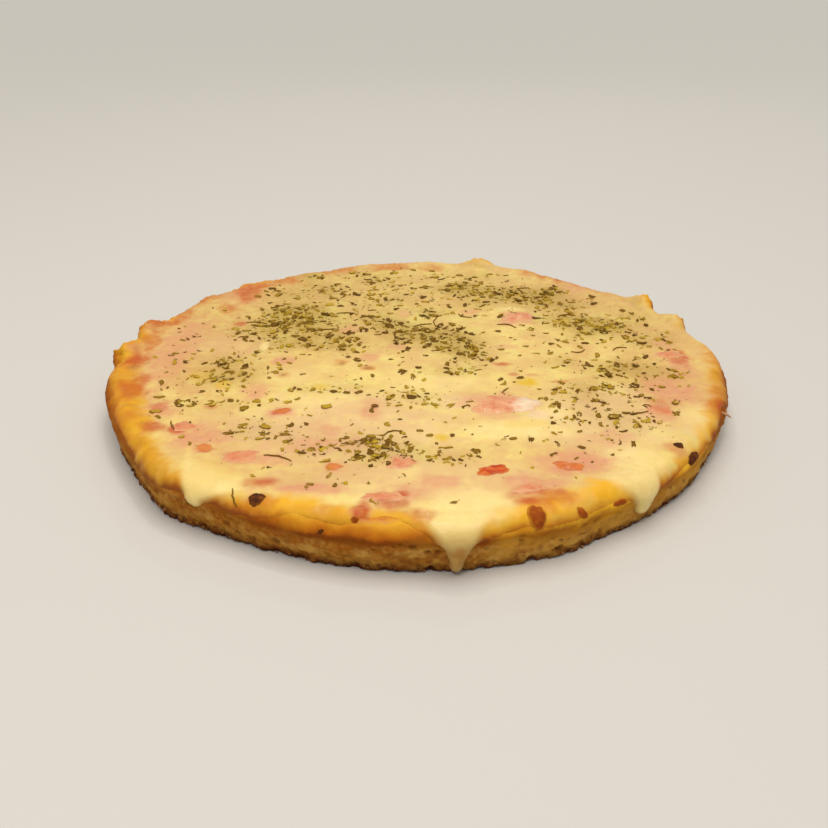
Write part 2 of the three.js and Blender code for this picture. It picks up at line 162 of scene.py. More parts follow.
def section(angle, along):
    """Radius and height of the smooth dough, a length along its face from the middle outwards,
    over the lip, down the side and round the foot."""
    side, top = outline(angle), lip_top(angle)
    crest = side - SHOULDER
    rise = ease(along, side - LIP_WIDTH, crest)
    past = np.maximum(along - crest, 0)
    turn = np.minimum(past / SHOULDER, math.pi / 2)
    down = np.clip(past - SHOULDER_ARC, 0, wall_height(angle))
    lean = down / wall_height(angle)
    under = np.clip(past - SHOULDER_ARC - wall_height(angle), 0, FOOT_ARC) / FOOT_RADIUS
    radius = side - SHOULDER * (1 - np.sin(turn)) - SIDE_TAPER * lean**2
    radius = np.where(past > 0, radius - FOOT_RADIUS * (1 - np.cos(under)), along)
    height = FLOOR_TOP + (top - FLOOR_TOP) * rise
    height = height - SHOULDER * (1 - np.cos(turn)) - down - FOOT_RADIUS * np.sin(under)
    return radius, height


def facing(angle, along):
    """The way the dough's face looks there, as its outward and upward share."""
    r0, z0 = section(angle, along - 0.1)
    r1, z1 = section(angle, along + 0.1)
    length = np.hypot(r1 - r0, z1 - z0) + 1e-9
    return -(z1 - z0) / length, (r1 - r0) / length


def turned(angle, radius, height):
    """Points at an angle round the dough's middle."""
    a = np.radians(angle)
    return np.stack([radius * np.cos(a), radius * np.sin(a), height + 0 * radius], -1)


def dough_relief(angle, along):
    """How far the baked face stands out of the smooth section, mm."""
    radius, height = section(angle, along)
    points = turned(angle, radius, height).reshape(-1, 3)
    past = (along - outline(angle) + SHOULDER).reshape(-1)
    wall = ease(past, SHOULDER_ARC - 1.6, SHOULDER_ARC + 0.6)
    foot = ease(-height.reshape(-1), -3.4, -0.6)
    relief = (0.34 + 0.2 * wall) * lumps(points, 9, 1) + (0.14 + 0.14 * wall) * lumps(points, 4, 2)
    crumb = 0.45 * lumps(points, (3.2, 3.2, 2), 3) + 0.3 * lumps(points, 1.3, 4)
    holes = 1.1 * pores(points, (3.2, 3.2, 2.4), 5, 0.36) + 0.5 * pores(points, 1.5, 6, 0.42)
    relief += wall * (crumb - holes)
    shoulder = ease(past, -5, -1) * (1 - wall)
    relief += shoulder * (0.2 * lumps(points, 2.6, 17) + 0.1 * lumps(points, 1.1, 18))
    corner = np.exp(-(((past - SHOULDER_ARC + 0.9) / 0.9) ** 2))
    relief += 0.3 * corner - 0.35 * wall * (1 - foot)
    crumbly = 0.4 + 0.5 * bell(angle, 226, 24) + 0.4 * bell(angle, 310, 14) + 0 * radius
    relief += foot * (crumbly.reshape(-1) * lumps(points, 1.8, 7) + 0.3)
    crisp = added(angle, CRISP_ARCS).reshape(-1)
    along_lip = np.radians(np.reshape(angle, -1) % 360) * SIDE_RADIUS
    teeth = np.stack([along_lip, 0.4 * past, 0 * past], -1)
    teeth = 0.5 - np.abs(lumps(teeth, 3.1, 10)) - 0.6 * np.abs(lumps(teeth, 1.5, 11))
    upper_lip = ease(past, -3, 1) * ease(-past, -7, -3)
    relief += crisp * upper_lip * (2.3 * teeth + 0.35 * lumps(points, 1.3, 12))
    return relief.reshape(np.shape(radius))


def dough_face(angle, along, above=0.0):
    """Points on the baked dough's face, or some way above it, in mm round the dough's middle."""
    radius, height = section(angle, along)
    out, up = facing(angle, along)
    lift = dough_relief(angle, along) + above
    return turned(angle, radius + out * lift, np.maximum(height + up * lift, 0))


def ring_faces(first, steps, ring_count):
    """Quads between rings of corners that are numbered one after another."""
    j = np.arange(steps)
    ahead = (j + 1) % steps
    quads = []
    for k in range(ring_count - 1):
        inner, outer = first + k * steps, first + (k + 1) * steps
        quads.append(np.stack([inner + j, outer + j, outer + ahead, inner + ahead], -1))
    return np.concatenate(quads).tolist()


def placed_in_scene(name, data):
    """An object of the scene that shows a mesh, a light or a camera."""
    thing = bpy.data.objects.new(name, data)
    bpy.context.scene.collection.objects.link(thing)
    return thing


def make_piece(name, corners, faces, **marks):
    """A smooth-shaded piece from corners in mm round the dough's middle, with named marks that
    its material reads."""
    mesh = bpy.data.meshes.new(name)
    placed = (np.asarray(corners) + (AXIS_X, AXIS_Y, 0)) * MM
    mesh.from_pydata(placed.tolist(), [], faces)
    mesh.shade_smooth()
    for mark, values in marks.items():
        layer = mesh.attributes.new(mark, "FLOAT", "POINT")
        layer.data.foreach_set("value", np.ascontiguousarray(values, np.float32))
    return placed_in_scene(name, mesh)


def closed_body(rings, top, low):
    """Corners and faces of rings of corners, closed by one corner above and one below."""
    steps = len(rings[0])
    faces = ring_faces(0, steps, len(rings))
    last = (len(rings) - 1) * steps
    for j in range(steps):
        ahead = (j + 1) % steps
        faces += [[last + steps, j, ahead], [last + j, last + steps + 1, last + ahead]]
    return np.concatenate([*rings, top, low]), faces


DOUGH_STEPS = 1400
UPPER_RINGS = (30, 20, 13, *np.arange(9, 0, -0.7))  # mm in from the lip's crest
SHOULDER_RINGS, WALL_RINGS = 14, 20
FOOT_RINGS = (0.2, 0.4, 0.6, 0.8, 1)  # shares of the rounded foot
UNDER_RINGS = (2.5, 8, 24, 60)  # mm in from the foot
around = np.arange(DOUGH_STEPS) * 360 / DOUGH_STEPS
crest = outline(around) - SHOULDER
corner = crest + SHOULDER_ARC
rings = [crest - inside for inside in UPPER_RINGS]
rings += [crest + share * SHOULDER_ARC for share in np.linspace(0, 1, SHOULDER_RINGS)]
rings += [corner + share * wall_height(around) for share in np.linspace(0, 1, WALL_RINGS)[1:]]
rings += [corner + wall_height(around) + share * FOOT_ARC for share in FOOT_RINGS]
dough_points = [dough_face(around, along) for along in rings]
dough_past = [along - crest for along in rings]
foot_point, foot_past = dough_points[-1], dough_past[-1]
for inside in UNDER_RINGS:
    drawn_in = 1 - inside / np.linalg.norm(foot_point[:, :2], axis=1)
    under = foot_point * drawn_in[:, None]
    under[:, 2] = 0.12 * np.clip(lumps(under, 5, 8), 0, 1)
    dough_points.append(under)
    dough_past.append(foot_past)
dough_corners, dough_faces = closed_body(dough_points, [[0, 0, FLOOR_TOP]], [[0, 0, 0]])
dough_angle = np.concatenate([np.tile(around, len(dough_points)), [0, 0]])
dough_past = np.concatenate([*dough_past, [-100, 30]])
# How dark the side is coloured: darkest at the front left, palest at the front right; partly
# baking, and partly painted shade on the left, the side turned from the light
dough_bake = 0.5 + 0.3 * bell(dough_angle, 215, 40) + 0.2 * bell(dough_angle, 180, 30)
dough_bake = dough_bake - 0.25 * bell(dough_angle, 318, 22) + 0.1 * lumps(dough_corners, 14, 9)
dough_hole = pores(dough_corners, (3.2, 3.2, 2.4), 5, 0.36)
dough_cream = ease(lumps(dough_corners, (6, 6, 3), 13) + 0.4 * lumps(dough_corners, 2, 14), -0.1, 0.5)
dough_russet = ease(lumps(dough_corners, (8, 8, 3.5), 15) + 0.5 * lumps(dough_corners, 2, 16), 0.1, 0.6)
# Where the corner stayed pale: along the front right, and in places elsewhere
dough_dry = 1.2 * bell(dough_angle, 297, 17) + 0.9 * bell(dough_angle, 322, 10)
dough_dry = dough_dry + 0.35 * bell(dough_angle, 228, 10)
dough_dry = np.clip(dough_dry + 1.1 * lumps(dough_corners, 13, 19) - 0.1, 0, 1)
crust = make_piece(
    "crust_baked", dough_corners, dough_faces, past=dough_past + browned(dough_angle),
    bake=dough_bake, hole=dough_hole, cream=dough_cream, russet=dough_russet, dry=dough_dry,
)


def colour(code):
    """An sRGB hex colour as linear light."""
    parts = [int(code[k : k + 2], 16) / 255 for k in (1, 3, 5)]
    return (*[c / 12.92 if c <= 0.04045 else ((c + 0.055) / 1.055) ** 2.4 for c in parts], 1)


def new_finish(name):
    """An empty material and its node tree."""
    material = bpy.data.materials.new(name)
    material.use_nodes = True
    material.node_tree.nodes.clear()
    return material, material.node_tree


def add(tree, kind, inputs=None, out=0, stops=(), **settings):
    """Adds a node with its settings, sets or links its inputs, and gives one of its outputs."""
    made = tree.nodes.new("ShaderNode" + kind)
    for name, value in settings.items():
        setattr(made, name, value)
    for key, value in (inputs or {}).items():
        if isinstance(value, bpy.types.NodeSocket):
            tree.links.new(value, made.inputs[key])
        else:
            made.inputs[key].default_value = value
    for number, (place, code) in enumerate(stops):
        held = made.color_ramp.elements
        stop = held[number] if number < 2 else held.new(place)
        stop.position, stop.color = place, colour(code)
    return made.outputs[out] if len(made.outputs) else made


ZONE_FROM, ZONE_TO = -8.0, 22.0  # mm past the crest, where the zones of the rim begin and end
zones = [
    (0.0, "#E4AE32"), (0.38, "#E0A62A"), (0.455, "#CC8418"), (0.505, "#BA6A12"), (0.55, "#964C0E"),
    (0.59, "#8C480E"), (0.66, "#A45E18"), (0.82, "#AE7428"), (1.0, "#703C14"),
]
pale_zones = [
    (0.0, "#E6B032"), (0.46, "#E2AA2A"), (0.55, "#C6861E"), (0.6, "#CA9230"), (0.84, "#CC9640"),
    (1.0, "#80481C"),
]


def rim_zone(tree, place):
    """Where a point lies in the zones of the baked rim, which wander, and the noises that move it."""
    wander = add(tree, "Attribute", attribute_name="past", out=2)
    noises = []
    for size, detail, reach in ((8, 3.0, 5.0), (1.6, 4.0, 1.6)):
        noise = add(tree, "TexNoise", {"Vector": place, "Scale": PER_MM / size, "Detail": detail})
        wander = add(tree, "Math", {0: noise, 1: reach, 2: wander}, operation="MULTIPLY_ADD")
        noises.append(noise)
    zone = add(tree, "MapRange", {0: wander, 1: ZONE_FROM, 2: ZONE_TO, 3: 0.0, 4: 1.0})
    return zone, *noises


# Baked wheat dough: the oiled lip gives a soft sheen and a clear golden colour; the side is dry
# crumb with no sheen, mottled where its pores shade it; the foot is fried nearly black.
baked_dough, tree = new_finish("baked_dough")
place = add(tree, "TexCoord", out=3)
zone, broad, fine = rim_zone(tree, place)
past, bake, hole, dry = (
    add(tree, "Attribute", attribute_name=mark, out=2) for mark in ("past", "bake", "hole", "dry")
)
height = add(tree, "SeparateXYZ", {0: place}, out=2)
grit = add(tree, "TexNoise", {"Vector": place, "Scale": PER_MM / 0.6, "Detail": 2.0})
browned_tone = add(tree, "ValToRGB", {0: zone}, stops=zones)
pale_tone = add(tree, "ValToRGB", {0: zone}, stops=pale_zones)
tone = add(tree, "Mix", {0: dry, 6: browned_tone, 7: pale_tone}, out=2, data_type="RGBA")
crumb = add(tree, "MapRange", {0: past, 1: 6.5, 2: 8.5, 3: 0.0, 4: 1.0})
pale_share = add(tree, "MapRange", {0: fine, 1: 0.42, 2: 0.66, 3: 0.0, 4: 0.75})
pale_share = add(tree, "Math", {0: pale_share, 1: crumb}, operation="MULTIPLY")
mottled = [(pale_share, "#C28C3A")]
for mark, code, most in (("cream", "#CE9E4E", 0.8), ("russet", "#88440F", 0.7)):
    share = add(tree, "Attribute", attribute_name=mark, out=2)
    broken = add(tree, "MapRange", {0: fine, 1: 0.35, 2: 0.6, 3: 0.5 * most, 4: most})
    for part in (broken, crumb):
        share = add(tree, "Math", {0: share, 1: part}, operation="MULTIPLY")
    mottled.append((share, code))
dark_share = add(tree, "Math", {0: hole, 1: crumb}, operation="MULTIPLY")
dark_share = add(tree, "Math", {0: dark_share, 1: 0.75}, operation="MULTIPLY")
# darker side colour: partly baking, partly painted shade on the left side
bake_share = add(tree, "MapRange", {0: bake, 1: 0.5, 2: 1.1, 3: 0.0, 4: 0.45})
foot_line = add(tree, "Math", {0: fine, 1: 0.003, 2: height}, operation="MULTIPLY_ADD")
foot_share = add(tree, "MapRange", {0: foot_line, 1: 0.005, 2: 0.0022, 3: 0.0, 4: 0.95})
uneven = add(tree, "MapRange", {0: broad, 1: 0.35, 2: 0.55, 3: 0.5, 4: 1.0})
foot_share = add(tree, "Math", {0: foot_share, 1: uneven}, operation="MULTIPLY")
mottled += [(dark_share, "#5E300E"), (bake_share, "#965810"), (foot_share, "#481808")]
for share, code in mottled:
    tone = add(tree, "Mix", {0: share, 6: tone, 7: colour(code)}, out=2, data_type="RGBA")
sheen_map = add(tree, "MapRange", {0: past, 1: 2.0, 2: 7.5, 3: 0.46, 4: 0.85})
rough = add(tree, "Math", {0: fine, 1: 0.12, 2: sheen_map}, operation="MULTIPLY_ADD")
bumpy = add(tree, "Math", {0: grit, 1: crumb}, operation="MULTIPLY")
bumpy = add(tree, "Math", {0: fine, 1: 0.7, 2: bumpy}, operation="MULTIPLY_ADD")
bump = add(tree, "Bump", {"Strength": 0.45, "Distance": 0.0004, "Height": bumpy})
surface = add(
    tree, "BsdfPrincipled",
    {"Base Color": tone, "Roughness": rough, "Normal": bump, "IOR": 1.45,
     "Specular IOR Level": 0.1, "Subsurface Weight": 0.12, "Subsurface Scale": 0.0012,
     "Subsurface Radius": (1.0, 0.55, 0.25)},
)
add(tree, "OutputMaterial", {0: surface})
crust.data.materials.append(baked_dough)
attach(crust, "root")
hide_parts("crust")

# Sauce
# Crushed tomato cooked down to a thin moist layer under the cheese. It shows as an orange-red
# rim where it baked out over the lip, past the edge of the cheese.

SAUCE_INSET = 7.5
SAUCE_THICK = 0.5
SAUCE_SMEARS = [
    (181, 9, 4.5), (161, 10, 3.5), (136, 10, 4.5), (112, 9, 3.5), (54, 9, 4), (338, 8, 5),
    (262, 8, 6.5), (290, 8, 4), (201, 10, 3.5),
]
# Where it is thick enough to stay red: middle and half sizes, mm
SAUCE_POOLS = [
    (-17, -105, 3, 6), (29, -98, 6, 4), (101, -43, 5, 7), (-109, 12, 6, 14), (-80, 74, 9, 12),
    (-36, 105, 6, 5), (62, 92, 7, 9), (-105, -6, 4, 5), (-14, 106, 10, 4),
]


def arch(share):
    """A quarter-round profile, from 0 at an edge to 1."""
    left = 1 - np.clip(share, 0, 1)
    return np.sqrt(np.maximum(1 - left * left, 0))


def polar(u, v):
    """The angle and the length along the section of a point of the unrolled face."""
    return np.degrees(np.arctan2(v, u)) % 360, np.hypot(u, v)


def unrolled(u, v):
    """The same point for the noises, which take points in space."""
    return np.stack([u, v, 0 * u], -1)


PROBE = 0.1  # how far a slope is measured over, mm
UNDER_STEP, UNDER_INSIDE = 9.0, 4  # the underside's corners: spacing, and how far in they begin


def laid_sheet(inside_at, upper_at, under_at, step, reach):
    """A closed layer on the dough, wherever inside_at is above 0 on the unrolled face: a square
    grid whose border corners are drawn onto the edge, closed by a coarse underside."""
    count = int(reach / step)
    line = np.arange(-count, count + 1) * step
    u, v = (grid.reshape(-1) for grid in np.meshgrid(line, line, indexing="ij"))
    wide = len(line)
    inside = inside_at(u, v)
    j = (np.arange(wide - 1)[:, None] * wide + np.arange(wide - 1)).reshape(-1)
    quads = np.stack([j, j + wide, j + wide + 1, j + 1], -1)
    quads = quads[inside[quads].mean(axis=1) > 0]
    # A corner that only touches its neighbour across a point is left out
    for _ in range(3):
        edges = np.sort(np.stack([quads, np.roll(quads, -1, axis=1)], -1).reshape(-1, 2), axis=1)
        pairs, uses = np.unique(edges, axis=0, return_counts=True)
        border = pairs[uses == 1]
        corners_on_border, meets = np.unique(border, return_counts=True)
        pinched = corners_on_border[meets > 2]
        if not len(pinched):
            break
        quads = quads[~np.isin(quads, pinched).any(axis=1)]
    on_edge = np.unique(border)
    for _ in range(3):
        here = inside_at(u[on_edge], v[on_edge])
        slope_u = (inside_at(u[on_edge] + PROBE, v[on_edge]) - here) / PROBE
        slope_v = (inside_at(u[on_edge], v[on_edge] + PROBE) - here) / PROBE
        steep = np.maximum(slope_u**2 + slope_v**2, 0.3)
        move = np.clip(here / steep, -0.5 * step, 0.5 * step)
        u[on_edge] -= move * slope_u
        v[on_edge] -= move * slope_v
    used, faces = np.unique(quads, return_inverse=True)
    faces = faces.reshape(quads.shape)
    u, v = u[used], v[used]
    renumber = {old: new for new, old in enumerate(used)}
    loops = [(renumber[a], renumber[b]) for a, b in border]
    upper = upper_at(u, v)
    on_edge = np.array(sorted({a for pair in loops for a in pair}))
    upper[on_edge] = under_at(u[on_edge], v[on_edge])
    coarse = np.arange(-reach, reach, UNDER_STEP)
    cu, cv = (grid.reshape(-1) for grid in np.meshgrid(coarse, coarse, indexing="ij"))
    deep = inside_at(cu, cv) > UNDER_INSIDE
    cu, cv = cu[deep], cv[deep]
    flat = [(u[k], v[k]) for k in on_edge] + list(zip(cu, cv))
    place_of = {k: n for n, k in enumerate(on_edge)}
    bounds = [(place_of[a], place_of[b]) for a, b in loops]
    made = delaunay_2d_cdt(flat, bounds, [], 1, 1e-6)
    number = list(on_edge) + [len(u) + k for k in range(len(cu))]
    ids = [number[came[0]] if came else None for came in made[3]]
    under_faces = [[ids[k] for k in reversed(face)] for face in made[2]]
    under_faces = [face for face in under_faces if None not in face]
    corners = np.concatenate([upper, under_at(cu, cv)])
    return corners, faces.tolist() + under_faces, np.concatenate([u, cu]), np.concatenate([v, cv])


def sauce_edge(angle):
    """How far out the sauce reaches along the dough's section."""
    return outline(angle) - SAUCE_INSET + added(angle, SAUCE_SMEARS)


def sauce_inside(u, v):
    """How far inside the sauce's edge a point of the unrolled face lies, mm."""
    angle, along = polar(u, v)
    flat = unrolled(u, v)
    ragged = 1.1 * lumps(flat, 6, 21) + 0.6 * lumps(flat, 2.4, 22)
    return sauce_edge(angle) + ragged - along


def patches(u, v, places):
    """How strongly each point lies in one of a list of soft-edged, ragged patches."""
    flat = unrolled(u, v)
    ragged = 0.34 * lumps(flat, 5.5, 41) + 0.22 * lumps(flat, 2.2, 42)
    most = 0 * u
    for x, y, half_x, half_y, *strength in places:
        far = np.hypot((u - x) / half_x, (v - y) / half_y) + ragged
        most = np.maximum(most, (strength or [1])[0] * ease(-far, -1.3, -0.4))
    return most


def sauce_depth(u, v):
    """The sauce's thickness on the dough; it thins out to nothing at its edge."""
    share = ease(sauce_inside(u, v), 0, 4)
    flat = unrolled(u, v)
    pulp = 0.65 + 0.35 * lumps(flat, 2.4, 23) + 0.3 * lumps(flat, 1.2, 24)
    return SAUCE_THICK * share * (pulp + 0.6 * patches(u, v, SAUCE_POOLS)) - 0.25 * (1 - share) ** 2


def sauce_swell(u, v):
    """How far the sauce lifts the cheese over it, smooth over the sauce's own lumps, mm."""
    thick = SAUCE_THICK * (0.95 + 0.6 * patches(u, v, SAUCE_POOLS))
    return thick * ease(sauce_inside(u, v), 0, 5)


def sauce_upper(u, v):
    """The sauce's upper face, its own thickness above the dough."""
    return dough_face(*polar(u, v), sauce_depth(u, v))


def crest_past(u, v):
    """How far past the crest of the rim a point lies, with the baking of the rim there, mm."""
    angle, along = polar(u, v)
    return along - outline(angle) + SHOULDER + browned(angle)


SAUCE_STEP, SAUCE_REACH = 1.0, 119  # spacing of the sheet's grid and how far out it goes, mm
SAUCE_UNDER = -0.25  # its hidden underside lies this far into the dough
sauce_corners, sauce_faces, u, v = laid_sheet(
    sauce_inside, sauce_upper, lambda u, v: dough_face(*polar(u, v), SAUCE_UNDER),
    SAUCE_STEP, SAUCE_REACH,
)
sauce = make_piece(
    "sauce_layer", sauce_corners, sauce_faces, pool=patches(u, v, SAUCE_POOLS),
    past=crest_past(u, v), fade=1 - ease(sauce_inside(u, v), 0.5, 4),
)

# Baked tomato sauce: an oily, moist gloss broken by pulp, orange where it is thin
baked_sauce, tree = new_finish("baked_tomato_sauce")
place = add(tree, "TexCoord", out=3)
pulp = add(tree, "TexNoise", {"Vector": place, "Scale": PER_MM / 2.4, "Detail": 4.0})
red = add(tree, "ValToRGB", {0: pulp}, stops=[(0.32, "#96340E"), (0.5, "#B24A14"), (0.68, "#C8682A")])
thin = add(tree, "ValToRGB", {0: pulp}, stops=[(0.32, "#B45C14"), (0.5, "#C67418"), (0.68, "#D28A20")])
pool, fade = (add(tree, "Attribute", attribute_name=mark, out=2) for mark in ("pool", "fade"))
tone = add(tree, "Mix", {0: pool, 6: thin, 7: red}, out=2, data_type="RGBA")
baked = add(tree, "ValToRGB", {0: rim_zone(tree, place)[0]}, stops=zones)
tone = add(tree, "Mix", {0: fade, 6: tone, 7: baked}, out=2, data_type="RGBA")
rough = add(tree, "MapRange", {0: pulp, 1: 0.3, 2: 0.7, 3: 0.3, 4: 0.6})
bump = add(tree, "Bump", {"Strength": 0.5, "Distance": 0.0005, "Height": pulp})
surface = add(
    tree, "BsdfPrincipled",
    {"Base Color": tone, "Roughness": rough, "Normal": bump, "IOR": 1.38,
     "Specular IOR Level": 0.4, "Subsurface Weight": 0.2, "Subsurface Scale": 0.001,
     "Subsurface Radius": (1.0, 0.3, 0.1)},
)
add(tree, "OutputMaterial", {0: surface})
sauce.data.materials.append(baked_sauce)
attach(sauce, "root")
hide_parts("sauce")

# Cheese
# Mild melting cheese, laid on in slices and fused into one soft sheet. It has run over the lip
# in three places, let the pink of the ham and the red of the sauce through where it is thin,
# and turned golden towards the rim.

CHEESE_LEVEL = 15
CHEESE_INSET = 2.6
CHEESE_FILM = 1.0
CHEESE_REACH = 131
# Where the cheese draws back from the rim: degrees, width in degrees, mm
BARE_ARCS = [
    (180, 4, 4), (163, 4, 4), (198, 9, 4), (253.5, 5.5, 5), (265, 5, 6), (338.5, 2.5, 3.5), (136, 7, 5),
    (111, 5, 3), (57, 6, 3),
]
# Runs: degrees, mm over the crest, half width at the top and at the tip, thickness, and how
# quickly each narrows
DRIPS = [
    (275.2, 16.4, 16, 2.2, 2.1, 1.7), (306.5, 12.5, 14.5, 3.3, 1.4, 1.4), (235, 7.6, 19, 3, 1, 0.95),
]
CHEESE_EDGE_OUT = 4.4  # the last thin baked-on skin reaches this much further
RUN_BLEND = 1.6  # how softly a run's edge joins the sheet's, mm squared
HAM = [
    (29, -40.5, 12.5, 7, -4), (42, 37, 8, 6, 10), (94, -1, 5.5, 4.2, 20), (79, -45, 5.5, 4.5, -15),
    (-74.5, -55.5, 4.5, 3.5, 30), (-53, -74, 7, 4, 8), (-5, -78, 5, 3.6, -10),
    (-10, -95.5, 6.5, 3.2, -3), (31, -91.5, 5.5, 3.2, 12),
]
# What shows through the cheese: middle, half sizes and strength of each patch
PINK = [
    (-55, -30, 6, 6, 0.8), (-44.5, -46, 5, 4, 0.9), (-16, -44, 4, 7, 0.8), (-68, -62, 11, 9, 0.8),
    (-44, -75, 7, 4, 0.6), (-25, -79, 4, 3, 0.8), (26, -48, 9, 4, 0.5), (-30, -91.5, 11, 3.6, 0.9),
    (-5, -77, 5, 4, 0.9), (6, -88, 7, 4, 0.7), (26, -40, 12, 8.5, 0.9), (47, -77, 12, 8, 0.95),
    (33, -89, 9, 6, 0.9), (79, -48, 5, 8, 0.6), (95, 10, 5, 6, 0.6), (40, 36, 7, 8, 0.85),
    (-50, -5, 4.5, 4.5, 0.8), (-18, -2, 4, 5, 0.7), (-5, 42, 4, 4, 0.6), (-26, 25, 6, 5, 0.5),
    (-8, 8, 4, 3, 0.5), (-92, 5, 9, 34, 0.6), (22, 45, 5, 4, 0.6), (33, 8, 5, 3, 0.5),
    (-30, -66, 14, 5, 0.55), (-28, -57, 5, 4, 0.6), (87, -30, 10, 13, 0.8), (72, 73, 7, 7, 0.5),
    (-78, 66, 9, 16, 0.5), (96, -10, 6, 12, 0.6), (60, -62, 9, 5, 0.5), (-85, -45, 8, 7, 0.7),
    (-4, -94, 9, 5, 0.7),
]
RED = [
    (31, -94.5, 5, 2.6, 0.6), (29.5, -98.5, 4, 2.6, 0.7), (40, -94, 3, 1.6, 0.3),
    (-69, -41, 2.6, 2, 0.5), (-44.5, -46, 3, 2.4, 0.9), (-84, -56, 5, 4, 0.8), (-76, -58, 3.5, 3, 0.9),
    (-64, -70, 2.6, 2.2, 0.8), (-45, -88, 5.5, 3.2, 0.75), (-5, -94, 2.4, 2, 0.8),
    (-15.5, -105, 3, 7.5, 1), (-8, -99, 5, 3.2, 0.8), (97, -3, 5, 7, 0.7), (-72.5, 32, 3, 2.6, 0.7),
    (-78, 68, 4, 7, 0.4), (31, -8, 4, 1.6, 0.7), (66, 84, 4, 5, 0.4), (34, -17, 2.2, 1.8, 0.6),
    (50, -22, 3.6, 1.3, 0.6), (102, -40, 3, 3.5, 1), (-105.5, -5, 4, 2.6, 0.6), (-53, -75, 4, 3.4, 0.6),
    (27, -95, 4, 3, 0.6), (80, -38, 4, 4, 0.4), (-86, -42, 4, 4, 0.5), (-25, -79, 2, 2, 0.6),
    (41, -17, 3, 1.4, 0.4),
]
ORANGE = [
    (-105.5, -6.5, 5, 5, 1), (-100, -31, 6, 9, 0.95), (104, -41, 3.5, 4, 0.9), (-96, -50, 5, 6, 0.4),
    (103, -32, 4, 7, 0.4), (-75, 67, 6, 12, 0.8), (-106, 28, 5, 6, 0.9), (-104, -5, 5, 6, 0.9),
    (-34, 103, 5, 4, 0.9), (61, 91, 5.5, 7, 0.8), (79, -45, 4, 3.4, 0.6), (11, -113.5, 1.5, 1.7, 0.6),
    (-4, -105, 9, 3.2, 0.8), (-18, -12, 3, 2.6, 0.7), (-28, -6, 3, 3, 0.5), (-48, -17, 3, 3, 0.4),
    (-44, -97, 6, 3.4, 0.6), (33, -99, 5, 3, 0.7), (78, -70, 4, 4, 0.5), (56, -98, 4, 3, 0.6),
    (-94, 58, 6, 8, 0.7), (-99, -26, 5, 10, 0.8), (-13, 102, 12, 5, 0.7), (-45, 97, 8, 5, 0.7),
    (38, -96, 5, 4, 0.7), (7, 102, 7, 5, 0.5), (-81, 48, 5, 6, 0.6), (-104, 12, 4, 14, 0.7),
    (-99, 40, 5, 8, 0.7), (80, 78, 9, 8, 0.5), (-62, 84, 9, 6, 0.7), (-28, -104, 9, 4, 0.5),
]
# Broad parts where the cheese is thin and lets the sauce tan it; towards the back they are also
# painted shade, darker where the light falls off
THIN_AND_BACK_SHADE = [
    (-84, 8, 30, 54, 0.95), (-66, 68, 34, 32, 0.8), (-12, 90, 60, 20, 0.3), (90, -25, 24, 36, 0.9),
    (68, 62, 36, 32, 0.75), (-40, -64, 44, 20, 0.8), (94, 14, 18, 26, 0.7), (34, -86, 34, 14, 0.7),
    (-63, -84, 15, 9, 0.4), (-47, -83, 8, 7, 0.5), (-12, 62, 34, 18, 0.35), (-24, 14, 30, 20, 0.5),
    (-64, -44, 20, 18, 0.1), (52, 6, 16, 12, 0.4), (-34, -62, 28, 15, 0.95), (62, -44, 15, 20, 0.7),
    (8, -68, 12, 10, 0.3), (50, -73, 18, 11, 0.9), (-26, -84, 26, 10, 0.8), (28, 66, 40, 22, 0.45),
    (24, -92, 18, 8, 0.6), (-12, -46, 14, 10, 0.6),
]
# Sauce baked out along the rim: degrees, width, strength, mm deep
RIM_SAUCE = [
    (164, 6, 0.95, 9), (182, 6, 1, 11), (148, 5, 0.7, 6), (135, 6, 0.95, 11), (122, 5, 0.6, 4),
    (74, 5, 0.5, 4), (20, 6, 0.4, 3), (110, 5, 0.8, 7), (97, 6, 0.6, 6), (56, 8, 0.9, 6),
    (42, 7, 0.6, 4), (338, 3.5, 0.9, 5), (358, 5, 0.5, 5),
]
# Where golden cheese reaches in from the rim: degrees, width in degrees, mm
GOLDEN_ARCS = [
    (197, 24, 10), (222, 9, 2), (252, 7, 8), (265, 6, 4), (291, 9, 7), (300, 5, 3), (20, 12, 2),
    (28, 5, 2), (74, 6, 4), (347, 15, 4.5), (330, 8, 1), (120, 25, 2),
]
